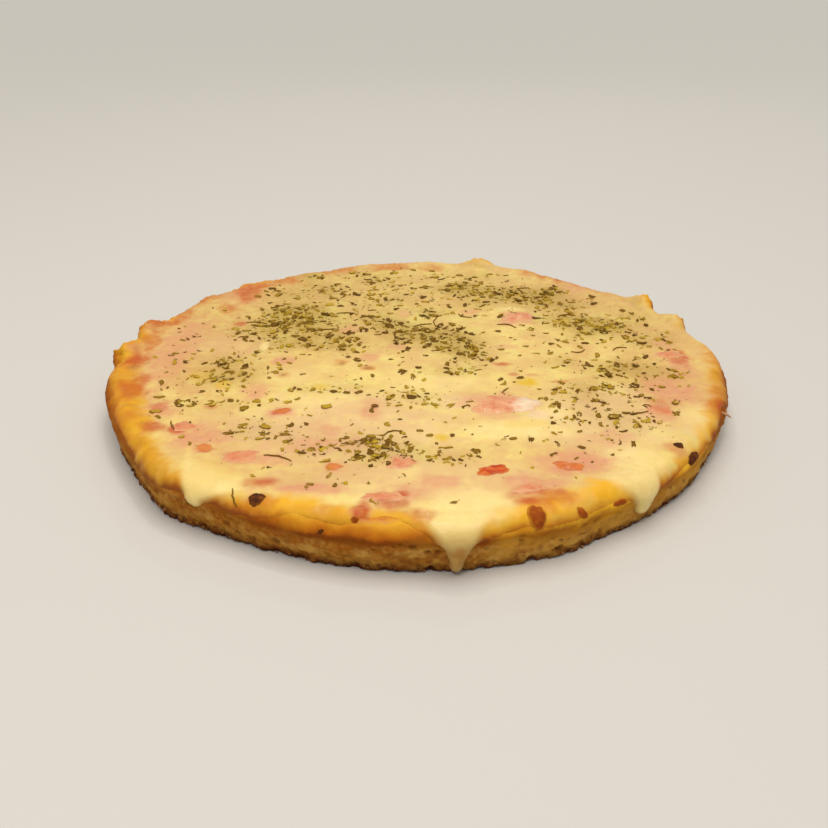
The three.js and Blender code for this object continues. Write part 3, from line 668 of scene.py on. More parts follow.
# Drifts of dried leaf, whose oil stains the cheese: middle, half sizes, how many bits
LEAF_DRIFTS = [
    (-57, 35, 7, 9, 42), (-48, 46, 9, 6, 36), (-44, 34, 8, 6, 44), (-48, 17, 9, 6, 24),
    (-34, 19, 8, 5, 14), (-27, 10, 7, 5, 14), (-37, 8, 7, 5, 10), (-14, 34, 6, 7, 20),
    (-7, 28, 7, 5, 15), (-5, 15, 6, 5, 14), (6, 22, 7, 5, 18), (13, 17, 7, 6, 24), (-60, 21, 6, 6, 14),
    (-71, 24, 5, 5, 6), (60, 49, 6, 6, 10), (69, 53, 5, 4, 6), (20, 71, 5, 4, 8), (20, 12, 7, 6, 18),
    (11, 7, 7, 4, 18), (20, -1, 6, 4, 14), (15, -14, 8, 3, 10), (5, 45, 5, 3, 8), (16, 72, 5, 5, 10),
    (24, 74, 6, 5, 14), (35, 69, 8, 5, 22), (44, 66, 6, 7, 16), (53, 57, 7, 6, 24), (28, 55, 6, 3, 8),
    (61, 33, 8, 5, 26), (72, 31, 8, 5, 22), (66, 20, 5, 4, 8), (79, 27, 5, 5, 12), (88, 13, 6, 6, 14),
    (53, -6, 6, 4, 8), (76, -9, 9, 5, 18), (70, -14, 6, 4, 10), (86, -16, 8, 4, 14), (78, -27, 5, 4, 6),
    (58, -30, 7, 5, 22), (54, -39, 6, 4, 8), (46, -46, 5, 4, 3), (63, -49, 6, 4, 12),
    (66, -56, 6, 3, 8), (60, -64, 6, 3, 6), (84, -62, 5, 3, 6), (-70, -5, 7, 4, 16),
    (-74, -18, 6, 5, 14), (-65, -20, 7, 4, 14), (-55, -12, 6, 5, 6), (-53, 8, 4, 3, 6),
    (-52, -56, 5, 4, 8), (-39, -59, 5, 5, 5), (-33, -69, 5, 3, 6), (-23, -66, 7, 6, 20),
    (-15, -66, 6, 5, 20), (-6, -69, 6, 5, 24), (-13, -75, 6, 3, 10), (2, -74, 6, 3, 8),
    (13, -75, 4, 3, 6), (-2, -32, 7, 4, 10), (6, -37, 6, 4, 6), (-36, -29, 9, 3, 8),
    (-22, -28, 4, 3, 4), (-67, -40, 12, 3, 14), (-30, -87, 7, 3, 7), (-57, 65, 7, 4, 10),
    (-39, 71, 6, 6, 16), (-30, 96, 8, 4, 8), (-20, 85, 8, 6, 12), (-48, 78, 5, 4, 6),
    (-13, 59, 8, 7, 12), (0, 92, 18, 8, 12), (-88, -6, 4, 12, 8), (-28, 30, 16, 12, 34),
    (2, 30, 12, 12, 14), (34, 64, 22, 9, 24), (-8, 74, 20, 9, 22), (70, 26, 14, 10, 14),
    (68, -32, 12, 16, 18), (-30, 56, 18, 10, 16), (8, -8, 16, 9, 10), (60, 69, 5, 4, 18),
    (-50, 90, 5, 3, 9), (50, -51, 5, 4, 6), (-90, -50, 4, 4, 5), (-50, -61, 6, 3, 9), (91, 38, 5, 6, 9),
    (71, -51, 5, 4, 6), (99, 16, 4, 6, 6), (30, 90, 9, 3, 8),
]
YELLOW = [
    (38, -23, 4.4, 3.4, 1.1), (-68, -25, 3.5, 3, 0.7), (-34, -27, 3.5, 2.6, 0.6),
    (-63, -83, 13, 8, 0.16), (7, -62, 2.6, 2.4, 0.9), (34, -54, 9, 3, 0.35), (-78, -18, 5, 5, 0.4),
    (60, 33, 4, 3, 0.4),
]
PALE = [
    (30, -57, 17, 8, 0.9), (6, -24, 18, 8, 0.5), (-46, -18, 10, 6, 0.4), (92, -50, 7, 10, 0.6),
    (-110, 0, 5, 4, 0.7), (15, -98, 15, 7, 0.9), (62, -76, 10, 9, 0.8), (60, -90, 9, 6, 0.7),
    (-59, 9, 1.6, 6.5, 0.9), (40, 46, 6, 3, 0.6), (-15, -98, 10, 3, 0.6), (45, -47, 5, 4, 0.5),
    (90, -60, 7, 8, 0.4), (0, -60, 8, 5, 0.3),
]
# Where the fat has set whiter
MILKY = [
    (-25, -54, 40, 26, 0.34), (60, -52, 26, 24, 0.32), (0, -86, 46, 12, 0.24), (40, -48, 7, 4, 0.8),
    (11, -38, 9, 6, 0.4), (68, -33, 12, 8, 0.3), (-72, 8, 18, 14, 0.12),
]
# Paler spots within the golden rim; the one on the front right shoulder is painted light, where
# that shoulder faces away from the light
PALE_RIM_AND_PAINTED_LIGHT = [
    (47, -99, 9, 5, 0.35), (-29, -104, 6, 3, 0.6), (-110, 0, 5, 4, 0.8), (-84, -59, 4, 4, 0.4),
    (40, -104, 6, 2, 0.4),
]
BROWN = [
    (2, 18, 16, 9, 0.1), (-18, -12, 1.5, 1.2, 0.7), (-28, -6, 1.3, 1.3, 0.6), (-48, -17, 1.3, 1.2, 0.6),
    (34, 2, 1.2, 1, 0.5), (-104, -12, 2, 3, 0.4), (55, -98, 3, 2, 0.7), (31, -104, 2, 3, 0.4),
]
# Spots of melted fat that shine
WET = [
    (35, -45, 7, 4, 1), (43, -83, 5, 2.4, 0.9), (-6, -104, 9, 4, 0.8), (18, -106, 6, 4, 0.5),
    (-60, 10, 3, 8, 0.6), (30, -33, 5, 3, 0.6), (66, -86, 5, 6, 0.5), (-66, -86, 8, 5, 0.5),
    (7, -74, 4, 3, 0.4), (2, -105, 5, 3.4, 1), (46, -80, 3, 2, 1), (-8, 24, 6, 4, 0.4),
    (48, 44, 6, 3, 0.4), (12, -30, 10, 5, 0.3),
]


def mm_across(angle, at):
    """How far round the rim an angle lies from another, mm."""
    return np.radians((angle - at + 540) % 360 - 180) * SIDE_RADIUS


def cheese_edge(angle):
    """How far out the cheese reaches along the dough's section, without its runs."""
    a = np.radians(angle)
    wander = 0.9 * np.sin(13 * a + 1) + 0.7 * np.cos(21 * a)
    return outline(angle) - CHEESE_INSET + CHEESE_EDGE_OUT + wander - added(angle, BARE_ARCS)


def cheese_inside(u, v):
    """How far inside the cheese's edge a point of the unrolled face lies, mm."""
    angle, along = polar(u, v)
    flat = unrolled(u, v)
    ragged = 1.0 * lumps(flat, 8, 31) + 0.5 * lumps(flat, 3, 32)
    inside = cheese_edge(angle) + ragged - along
    for at, reach, top, tip, _, taper in DRIPS:
        across = mm_across(angle, at)
        start = outline(at) - SHOULDER - 4
        end = start + reach + 4 - tip
        share = np.clip((along - start) / (end - start), 0, 1)
        half = tip + (top - tip) * (1 - share) ** (taper + 0.2)
        tongue = (half - np.abs(across)) * 0.9
        ball = tip - np.hypot(across, along - end)
        tongue = np.where(along > end, ball, tongue)
        inside = (inside + tongue + np.sqrt((inside - tongue) ** 2 + RUN_BLEND)) / 2
    return inside


def run_share(angle, along):
    """1 on a run of cheese over the lip, 0 away from it, and the cheese's thickness there."""
    most, depth = 0 * angle, 0 * angle
    for at, reach, top, tip, thick, taper in DRIPS:
        across = np.abs(mm_across(angle, at))
        over = along - outline(at) + SHOULDER
        share = np.clip((over + 7) / (reach + 4), 0, 1)
        half = tip + (top - tip) * (1 - share) ** taper
        here = ease(over, -7, -1) * ease(-across, -half - 2.5, -half + 1.5)
        swollen = CHEESE_FILM + (thick - CHEESE_FILM) * ease(over, -1, 7)
        most, depth = np.maximum(most, here), np.maximum(depth, here * swollen)
    return most, depth


def cheese_level(x, y):
    """The height that the cheese has melted to, in low swells, higher over the ham."""
    level = CHEESE_LEVEL + 0.32 * np.sin(x * 0.071 + 0.8) * np.cos(y * 0.083)
    level = level + 0.22 * np.sin(x * 0.15 - y * 0.12 + 2)
    for hx, hy, long, _, _ in HAM:
        level = level + 0.5 * np.exp(-((np.hypot(x - hx, y - hy) / (long + 5)) ** 2))
    return level


def cheese_upper(u, v, lift=0.0):
    """The cheese's upper face, level in the middle and a film over the lip."""
    angle, along = polar(u, v)
    flat = unrolled(u, v)
    inside = cheese_inside(u, v)
    run, depth = run_share(angle, along)
    begun = ease(inside / (7 - 4 * np.clip(added(angle, BARE_ARCS) / 5, 0, 1)), 0, 1)
    film = (1 - run) * CHEESE_FILM * begun + depth * arch(inside / 4)
    film = film * (1 + 0.3 * lumps(flat, 6, 33)) - 0.12 + 0.2 * np.maximum(begun, run)
    film = film + 0.2 * ease(inside, 0, 1.3) + sauce_swell(u, v) * ease(inside, 0, 2)
    radius, height = section(angle, along)
    out, up = facing(angle, along)
    raised = film + dough_relief(angle, along) * (1 - 0.7 * run)
    radius, height = radius + out * raised, height + up * raised
    crest = outline(angle) - SHOULDER
    lip = ease(along, crest - 2, crest + 2.5)
    full = (1 - lip) * ease(inside, 0, 9)
    gap = cheese_level(u, v) + 0.4 * ease(along, crest - 16, crest - 3) - height
    height = height + full * (gap + np.sqrt(gap * gap + 0.7)) / 2
    ripple = 0.38 * lumps(flat, 13, 34) + 0.22 * lumps(flat, 6, 35) + 0.1 * lumps(flat, 2.4, 36)
    ripple = ripple + 0.05 * lumps(flat, 1.3, 38)
    ripple = ripple + 0.3 * patches(u, v, PINK) - 0.28 * pores(flat, (5, 5, 9), 37, 0.2)
    ripple = ripple * (1 - 0.6 * ease(along, crest - 2, crest + 2)) * np.clip(inside / 3, 0, 1)
    return turned(angle, radius + out * (ripple + lift), height + up * (ripple + lift))


CHEESE_STEP = 0.68  # spacing of the sheet's grid, mm
CHEESE_UNDER = -0.35  # its hidden underside lies this far into the dough
cheese_corners, cheese_faces, u, v = laid_sheet(
    cheese_inside, cheese_upper, lambda u, v: dough_face(*polar(u, v), CHEESE_UNDER),
    CHEESE_STEP, CHEESE_REACH,
)
angle, along = polar(u, v)
inside = cheese_inside(u, v)
flat = unrolled(u, v)
# Golden towards the rim: a wide band at the left, a narrow one at the front right and back
golden_wide = 1 + added(angle, GOLDEN_ARCS)
ragged = 2.5 * lumps(flat, 6, 43) + 1.2 * lumps(flat, 2.4, 44)
rim = outline(angle) - along + ragged
run, _ = run_share(angle, along)
golden = ease(-rim, -golden_wide - 3, -golden_wide + 3) * (1 - run)
# paler spots take out the golden, one of them painted light on the front right shoulder
golden = golden * (1 - patches(u, v, PALE_RIM_AND_PAINTED_LIGHT))
red = patches(u, v, RED)
skin = ease(-inside - 0.6 * ragged, -4.5, -1) * (1 - run) * (1 - 0.85 * red)
past = crest_past(u, v)
# Toasted darker where the rim baked longest, and freckled all along it
toast = golden * np.clip(browned(angle) / 3.4 + 0.12 + 0.45 * lumps(flat, 4, 45), 0, 1)
orange = patches(u, v, ORANGE)
for at, wide, strength, deep in RIM_SAUCE:
    band = ease(-rim, -deep - 3, -deep + 2)
    orange = np.maximum(orange, strength * bell(angle, at, wide) * band)
stain = 0 * u
for x, y, half_x, half_y, bits in LEAF_DRIFTS:
    far = np.hypot((u - x) / (half_x + 2.5), (v - y) / (half_y + 2.5))
    stain += 1.15 * bits / (half_x * half_y) * np.exp(-(far**2))
stain = (stain + 0.22 * ease(v, 0, 50)) * (1 - 0.5 * ease(-v, 10, 50))
spots = dict(thin=THIN_AND_BACK_SHADE, pink=PINK, yellow=YELLOW, brown=BROWN, wet=WET, milky=MILKY)
cheese = make_piece(
    "cheese_sheet", cheese_corners, cheese_faces, red=red, orange=orange, golden=golden, run=run,
    pale=np.maximum(patches(u, v, PALE), 0.8 * run), stain=np.clip(stain, 0, 1), past=past,
    # painted shade on the lower part of the front run, which hangs down away from the light
    skin=skin, toast=toast, run_low=run * ease(past, 0, 9) * bell(angle, 276, 12),
    **{mark: patches(u, v, places) for mark, places in spots.items()},
)

# Melted mild cheese: soft, waxy and a little see-through, with a low satin sheen and a wetter
# gloss on the thick runs. Its colour goes from cream over pale yellow to golden at the rim.
melted_cheese, tree = new_finish("melted_cheese")
place = add(tree, "TexCoord", out=3)
cloud, mottle, grain = (
    add(tree, "TexNoise", {"Vector": place, "Scale": PER_MM / size, "Detail": detail})
    for size, detail in ((11, 3.0), (3.2, 4.0), (0.9, 3.0))
)
skin, run, wet = (
    add(tree, "Attribute", attribute_name=mark, out=2) for mark in ("skin", "run", "wet")
)
stops = [(0.36, "#DFBC74"), (0.5, "#E6CA78"), (0.64, "#EBD57E")]
tone = add(tree, "ValToRGB", {0: cloud}, stops=stops)
blush = add(tree, "MapRange", {0: mottle, 1: 0.46, 2: 0.68, 3: 0.0, 4: 0.5})
tone = add(tree, "Mix", {0: blush, 6: tone, 7: colour("#E2B676")}, out=2, data_type="RGBA")
tints = [
    # the first tint is the thin cheese's tan, and towards the back partly painted shade
    ("thin", "#D29F64", 0.74), ("stain", "#AC9036", 0.76), ("milky", "#EDCDA6", 0.9),
    ("pale", "#F3DC92", 0.9), ("yellow", "#DEB41A", 0.9), ("pink", "#D99670", 0.95),
    ("golden", "#EAB01A", 0.95), ("toast", "#BE7C0C", 0.85), ("orange", "#C2620E", 0.95),
    # the last tint on this line is painted shade on the lower part of the front run
    ("red", "#BE481C", 0.95), ("brown", "#8E5620", 0.9), ("run_low", "#B07C2A", 0.9),
]
for mark, code, most in tints:
    share = add(tree, "Attribute", attribute_name=mark, out=2)
    least = 0.9 if mark in ("golden", "toast") else 0.7
    broken = add(tree, "MapRange", {0: mottle, 1: 0.3, 2: 0.65, 3: least * most, 4: 1.1 * most})
    share = add(tree, "Math", {0: share, 1: broken}, operation="MULTIPLY", use_clamp=True)
    tone = add(tree, "Mix", {0: share, 6: tone, 7: colour(code)}, out=2, data_type="RGBA")
baked = add(tree, "ValToRGB", {0: rim_zone(tree, place)[0]}, stops=zones)
tone = add(tree, "Mix", {0: skin, 6: tone, 7: baked}, out=2, data_type="RGBA")
satin = add(tree, "MapRange", {0: mottle, 1: 0.3, 2: 0.7, 3: 0.34, 4: 0.52})
rough = add(tree, "Math", {0: run, 1: -0.16, 2: satin}, operation="MULTIPLY_ADD")
for share, value in ((wet, 0.14), (skin, 0.8)):
    rough = add(tree, "Mix", {0: share, 2: rough, 3: value}, out=0, data_type="FLOAT")
bumpy = add(tree, "Math", {0: mottle, 1: 2.0, 2: grain}, operation="MULTIPLY_ADD")
bump = add(tree, "Bump", {"Strength": 0.35, "Distance": 0.0003, "Height": bumpy})
surface = add(
    tree, "BsdfPrincipled",
    {"Base Color": tone, "Roughness": rough, "Normal": bump, "IOR": 1.45,
     "Specular IOR Level": 0.3, "Subsurface Weight": 0.3, "Subsurface Scale": 0.0014,
     "Subsurface Radius": (1.0, 0.65, 0.3)},
)
add(tree, "OutputMaterial", {0: surface})
cheese.data.materials.append(melted_cheese)
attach(cheese, "root")
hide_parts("cheese")

# Ham
# Pieces of boiled ham, cut small and laid on before the cheese. They stand up through it here
# and there, moist and pink, with paler fat, partly painted highlight, and a glint of juice.

TOPPING_DOWN = -1.1  # a piece's hidden underside lies this far under the cheese's face
TOPPING_DIP = 0.14  # and its edge this far, so that the sheet closes over it
UNDER_SHARES = (0.92, 0.6, 0.3)


def laid_out(x, y, turn, px, py):
    """Points given along and across a thing, turned and brought to the place where it lies."""
    t = math.radians(turn)
    return x + px * math.cos(t) - py * math.sin(t), y + px * math.sin(t) + py * math.cos(t)


def topping(x, y, long, wide, turn, rise, seed, steps=72, rings=18, square=0.6, steep=1.2):
    """One piece that stands out of the cheese: corners and faces of a flattened, uneven lump
    whose edge dips under the sheet that it lies in."""
    around = np.arange(steps) * 2 * math.pi / steps
    uneven = 1 + 0.12 * np.sin(2 * around + seed) + 0.08 * np.cos(3 * around + 2 * seed)
    uneven = uneven + 0.05 * np.sin(7 * around + 3 * seed) + 0.03 * np.cos(12 * around + seed)
    corner = 1 / np.maximum(0.78, np.maximum(np.abs(np.cos(around)), np.abs(np.sin(around))))
    points, covers = [], []
    for side, shares in ((1, np.linspace(1 / rings, 1, rings)), (-1, UNDER_SHARES)):
        for share in shares:
            reach = share * uneven * corner**square
            u, v = laid_out(x, y, turn, reach * long * np.cos(around), reach * wide * np.sin(around))
            flat = unrolled(u, v)
            if side > 0:
                lift = (rise + TOPPING_DIP) * (1 - share**2) ** steep - TOPPING_DIP
                rough = 0.16 * lumps(flat, 3, 51 + seed) + 0.07 * lumps(flat, 1.2, 61 + seed)
                lift = lift + rough * (1 - share**4)
            else:
                lift = TOPPING_DOWN + 0 * u
            points.append(cheese_upper(u, v, lift))
            covers.append(share + 0 * u)
    middle = np.array([float(x)]), np.array([float(y)])
    poles = [cheese_upper(*middle, lift) for lift in (rise, TOPPING_DOWN)]
    return *closed_body(points, *poles), np.concatenate([*covers, [0, 0]])


# Boiled ham: fine moist meat, pink mottled with pale fat that is partly painted highlight, with a
# wet gloss in spots
boiled_ham, tree = new_finish("boiled_ham")
place = add(tree, "TexCoord", out=3)
share, deep, fat = (
    add(tree, "Attribute", attribute_name=mark, out=2) for mark in ("share", "deep", "fat")
)
meat = add(tree, "TexNoise", {"Vector": place, "Scale": PER_MM / 2.8, "Detail": 4.0})
fibre = add(tree, "TexNoise", {"Vector": place, "Scale": PER_MM / 0.8, "Detail": 3.0})
tone = add(tree, "ValToRGB", {0: meat}, stops=[(0.34, "#D6845C"), (0.5, "#DF986C"), (0.66, "#E8B080")])
ragged = add(tree, "Math", {0: meat, 1: 0.8, 2: share}, operation="MULTIPLY_ADD")
film = add(tree, "MapRange", {0: ragged, 1: 0.8, 2: 1.2, 3: 0.0, 4: 0.95})
fat = add(tree, "Math", {0: meat, 1: 1.0, 2: fat}, operation="MULTIPLY_ADD")
fat = add(tree, "MapRange", {0: fat, 1: 0.75, 2: 1.4, 3: 0.0, 4: 0.9})
# the white of the big piece's fat is partly painted highlight
for share, code in ((film, "#E2AC78"), (deep, "#D27A46"), (fat, "#EED9B8")):
    tone = add(tree, "Mix", {0: share, 6: tone, 7: colour(code)}, out=2, data_type="RGBA")
rough = add(tree, "MapRange", {0: meat, 1: 0.4, 2: 0.65, 3: 0.42, 4: 0.16})
bumpy = add(tree, "Math", {0: meat, 1: 1.5, 2: fibre}, operation="MULTIPLY_ADD")
bump = add(tree, "Bump", {"Strength": 0.4, "Distance": 0.0003, "Height": bumpy})
surface = add(
    tree, "BsdfPrincipled",
    {"Base Color": tone, "Roughness": rough, "Normal": bump, "IOR": 1.4,
     "Subsurface Weight": 0.3, "Subsurface Scale": 0.0015,
     "Subsurface Radius": (1.0, 0.4, 0.3)},
)
add(tree, "OutputMaterial", {0: surface})
# How deep each piece's colour is, palest on the big one in the middle, and how far it stands out
HAM_DEEP = (0.1, 0.15, 0.4, 0.65, 0.5, 0.45, 0.3, 0.45, 0.4)
HAM_RISE = (0.55,) + (0.36,) * 8
for number, (x, y, long, wide, turn) in enumerate(HAM):
    corners, faces, cover = topping(x, y, long, wide, turn, HAM_RISE[number], number)
    deep = HAM_DEEP[number] * (1 - cover**2)
    # The big piece has its fat at the right, in one soft mottled lump, whose white is partly painted
    # highlight
    fat = (number == 0) * ease(corners[:, 0] - 0.4 * corners[:, 1], 44, 53) * (1 - cover**4)
    piece = make_piece(
        f"ham_piece_{number + 1}", corners, faces, share=cover, deep=deep, fat=fat
    )
    piece.data.materials.append(boiled_ham)
    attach(piece, "root")
    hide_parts(f"ham_{number + 1}")

# Tomato
# Scraps of tomato flesh and skin, soft and glossy, laid on before the cheese and lifted
# through it as it melted.

TOMATO = [
    (21.5, -81.5, 5, 3, 16), (44, -78.5, 4.6, 3, -12), (-44.5, -45.5, 3, 2.4, 35),
    (-65, -68.5, 3, 2.2, -20), (-25, -79, 2.8, 2.2, -30),
]
TOMATO_VEILED = (0, 0.8, 0.82, 0.92, 0.9)  # how far the cheese's film lies over each
TOMATO_RISE = (0.6, 0.6, 0.35, 0.35, 0.35)

# Cooked tomato: bright red flesh under a thin wet skin that takes sharp glints
cooked_tomato, tree = new_finish("cooked_tomato")
place = add(tree, "TexCoord", out=3)
share = add(tree, "Attribute", attribute_name="share", out=2)
flesh = add(tree, "TexNoise", {"Vector": place, "Scale": PER_MM / 2.0, "Detail": 3.0})
tone = add(tree, "ValToRGB", {0: flesh}, stops=[(0.35, "#B03406"), (0.52, "#C84A08"), (0.68, "#D66E2A")])
film = add(tree, "MapRange", {0: share, 1: 0.6, 2: 0.95, 3: 0.0, 4: 0.9})
tone = add(tree, "Mix", {0: film, 6: tone, 7: colour("#D88C48")}, out=2, data_type="RGBA")
rough = add(tree, "MapRange", {0: flesh, 1: 0.3, 2: 0.7, 3: 0.16, 4: 0.34})
bump = add(tree, "Bump", {"Strength": 0.35, "Distance": 0.0004, "Height": flesh})
surface = add(
    tree, "BsdfPrincipled",
    {"Base Color": tone, "Roughness": rough, "Normal": bump, "IOR": 1.4,
     "Specular IOR Level": 0.25, "Subsurface Weight": 0.25, "Subsurface Scale": 0.0012,
     "Subsurface Radius": (1.0, 0.2, 0.1)},
)
add(tree, "OutputMaterial", {0: surface})
for number, (x, y, long, wide, turn) in enumerate(TOMATO):
    corners, faces, cover = topping(
        x, y, long, wide, turn, TOMATO_RISE[number], number + 20, steps=48, rings=14
    )
    veiled = np.maximum(cover, TOMATO_VEILED[number])
    piece = make_piece(f"tomato_piece_{number + 1}", corners, faces, share=veiled)
    piece.data.materials.append(cooked_tomato)
    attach(piece, "root")
    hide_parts(f"tomato_{number + 1}")

# Scorched bits
# Bubbles of cheese and sauce that burned in the oven's heat, a little raised: most turned to
# dark crust, and some on the shoulder to soft brown blisters.

SCORCHED = [
    (31.4, -103.6, 2.4, 3.6, 4, 1.2), (-44.5, -96, 2.2, 1.9, 20, 0.8), (83.5, -70.3, 1.8, 3, -38, 0.9),
    (79.2, -67.6, 1.6, 1.3, 10, 0.6), (-26.5, -107.5, 1.2, 0.8, 10, 0.3),
    (56.6, -93.6, 2.8, 1.1, 28, 0.4), (-17, -105.5, 1.1, 0.9, 0, 0.4), (44.4, -100.3, 2.1, 1.5, 0, 0.5),
]
BLISTERS = (0, 5, 6, 7)  # those that stayed soft and brown
bits, bit_faces, bit_kinds = [], [], []
for number, (x, y, long, wide, turn, rise) in enumerate(SCORCHED):
    corners, faces, cover = topping(
        x, y, long, wide, turn, rise, number + 40, steps=40, rings=12, square=0.1, steep=0.7
    )
    bit_faces += [[k + number * len(corners) for k in face] for face in faces]
    bit_kinds += [float(number in BLISTERS)] * len(corners)
    bits.append((corners, cover))
scorched = make_piece(
    "scorched_bits", np.concatenate([corners for corners, _ in bits]), bit_faces,
    share=np.concatenate([cover for _, cover in bits]), blister=bit_kinds,
)

# Scorched cheese: a dry dark crust with a faint glaze, going golden at its edge
scorched_cheese, tree = new_finish("scorched_cheese")
place = add(tree, "TexCoord", out=3)
share, blister = (
    add(tree, "Attribute", attribute_name=mark, out=2) for mark in ("share", "blister")
)
char = add(tree, "TexNoise", {"Vector": place, "Scale": PER_MM / 1.3, "Detail": 4.0})
dark = add(tree, "ValToRGB", {0: char}, stops=[(0.35, "#42200C"), (0.55, "#60300F"), (0.72, "#804A1A")])
soft = add(tree, "ValToRGB", {0: char}, stops=[(0.3, "#883C0C"), (0.55, "#A04C10"), (0.8, "#B86618")])
tone = add(tree, "Mix", {0: blister, 6: dark, 7: soft}, out=2, data_type="RGBA")
edge = add(tree, "Math", {0: blister, 1: 0.15, 2: share}, operation="MULTIPLY_ADD")
edge = add(tree, "MapRange", {0: edge, 1: 0.82, 2: 1.06, 3: 0.0, 4: 0.9})
tone = add(tree, "Mix", {0: edge, 6: tone, 7: colour("#CA8A26")}, out=2, data_type="RGBA")
rough = add(tree, "MapRange", {0: char, 1: 0.3, 2: 0.7, 3: 0.5, 4: 0.8})
bump = add(tree, "Bump", {"Strength": 0.5, "Distance": 0.0004, "Height": char})
surface = add(
    tree, "BsdfPrincipled",
    {"Base Color": tone, "Roughness": rough, "Normal": bump, "IOR": 1.4,
     "Specular IOR Level": 0.15},
)
add(tree, "OutputMaterial", {0: surface})
scorched.data.materials.append(scorched_cheese)
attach(scorched, "root")

# Oregano
# Dried oregano, rubbed and strewn by hand after baking: torn bits of leaf, curled like little
# boats, with dust and a few thin stems. It lies in drifts over the back and middle.

rng = np.random.default_rng(20)
DRIFT_LEAVES, DRIFT_SPREAD = 1.4, 0.8  # leaves for each counted bit, and how they crowd together
EVEN_LEAVES, EVEN_REACH = 640, 100
DUST_SHARE = 0.6  # grains of dust for each bit of leaf
HERB_REACH = 103


def strewn(dense, even):
    """Places for bits on the cheese: in the drifts, by their counts, and evenly all over."""
    spots = []
    for x, y, half_x, half_y, count in LEAF_DRIFTS:
        offsets = rng.normal(0, DRIFT_SPREAD, (int(round(count * dense)), 2))
        spots.append(np.array([x, y]) + offsets * (half_x, half_y))
    reach = EVEN_REACH * np.sqrt(rng.uniform(0, 1, even))
    way = rng.uniform(0, 2 * math.pi, even)
    thinner_in_front = rng.uniform(0, 1, even) < 0.35 + 0.65 * ease(reach * np.sin(way), -95, -55)
    spread = np.stack([reach * np.cos(way), reach * np.sin(way)], -1)
    spots.append(spread[thinner_in_front])
    spots = np.concatenate(spots)
    return spots[np.hypot(*spots.T) < HERB_REACH]


def on_cheese(spots, lift):
    """Where bits lie on the cheese, and the way that its face looks there."""
    u, v = spots.T
    here = cheese_upper(u, v, lift)
    ahead = cheese_upper(u + 0.5, v, lift) - here
    left = cheese_upper(u, v + 0.5, lift) - here
    up = np.cross(ahead, left)
    return here, up / np.linalg.norm(up, axis=1)[:, None]


def laid_bits(local, spots, lift, tilt):
    """Turns each bit's own corners at random, tilts it and lays it on the cheese."""
    count = len(spots)
    here, up = on_cheese(spots, lift)
    up = up + rng.normal(0, 1, (count, 3)) * tilt
    up /= np.linalg.norm(up, axis=1)[:, None]
    way = rng.uniform(0, 2 * math.pi, count)
    ahead = np.stack([np.cos(way), np.sin(way), 0 * way], -1)
    side = np.cross(up, ahead)
    side /= np.linalg.norm(side, axis=1)[:, None]
    ahead = np.cross(side, up)
    axes = np.stack([ahead, side, up], 1)
    return here[:, None] + np.einsum("nkc,ncd->nkd", local, axes)


def copies(faces, count, corners_each, first=0):
    """The faces of one small thing, numbered again for each of many copies."""
    starts = first + np.arange(count) * corners_each
    return (np.array(faces)[None] + starts[:, None, None]).reshape(-1, len(faces[0])).tolist()


LEAF_ROWS, LEAF_COLUMNS = 5, 3
LEAF_LONG, LEAF_THICK = 1.08, 0.12  # half length on average, mm
spots = strewn(DRIFT_LEAVES, EVEN_LEAVES)
count = len(spots)
row = np.linspace(-1, 1, LEAF_ROWS)[None, :, None]
column = np.linspace(-1, 1, LEAF_COLUMNS)[None, None, :]
half_long = np.clip(np.exp(rng.normal(math.log(LEAF_LONG), 0.34, count)), 0.45, 2.1)[:, None, None]
half_wide = half_long * rng.uniform(0.32, 0.72, count)[:, None, None]
torn = rng.uniform(0.72, 1.0, count)[:, None, None]
shape = np.sqrt(np.maximum(1 - (row * torn) ** 2, 0.06)) + rng.normal(0, 0.13, (count, LEAF_ROWS, 1))
bend = rng.normal(0, 0.2, count)[:, None, None]
fold = rng.uniform(-0.1, 0.3, count)[:, None, None]
curl = rng.uniform(-0.12, 0.2, count)[:, None, None]
local_x = row * half_long + 0 * column + rng.normal(0, 0.07, (count, LEAF_ROWS, LEAF_COLUMNS))
local_y = column * half_wide * shape + bend * half_long * (row**2 - 0.4)
local_z = fold * half_wide * np.abs(column) + curl * half_long * row**2
local_z = local_z + rng.normal(0, 0.035, (count, LEAF_ROWS, LEAF_COLUMNS))
upper_side = np.stack([local_x + 0 * local_z, local_y + 0 * local_z, local_z], -1)
lower_side = upper_side * (0.97, 0.94, 1) - (0, 0, LEAF_THICK)
local = np.concatenate([upper_side, lower_side], 1).reshape(count, -1, 3)
sunk = rng.uniform(-0.1, 0.16, count)
leaf_corners = laid_bits(local, spots, sunk, 0.1)
per_side = LEAF_ROWS * LEAF_COLUMNS
leaf_faces = []
for a in (r * LEAF_COLUMNS + c for r in range(LEAF_ROWS - 1) for c in range(LEAF_COLUMNS - 1)):
    b = a + LEAF_COLUMNS
    leaf_faces += [[a, b, b + 1, a + 1], [per_side + k for k in (a, a + 1, b + 1, b)]]
numbers = np.arange(per_side).reshape(LEAF_ROWS, LEAF_COLUMNS)
border = [*numbers[0], *numbers[1:, -1], *numbers[-1, -2::-1], *numbers[-2:0:-1, 0]]
for a, b in zip(border, border[1:] + border[:1]):
    leaf_faces.append([a, b, per_side + b, per_side + a])
# The drift in the middle is the brownest
leaf_tint = rng.uniform(0, 1, count)
leaf_tint += 0.3 * np.exp(-np.sum(((spots - (-4, 26)) / 24) ** 2, axis=1))
leaf_tint = np.repeat(np.clip(leaf_tint, 0, 1), 2 * per_side)

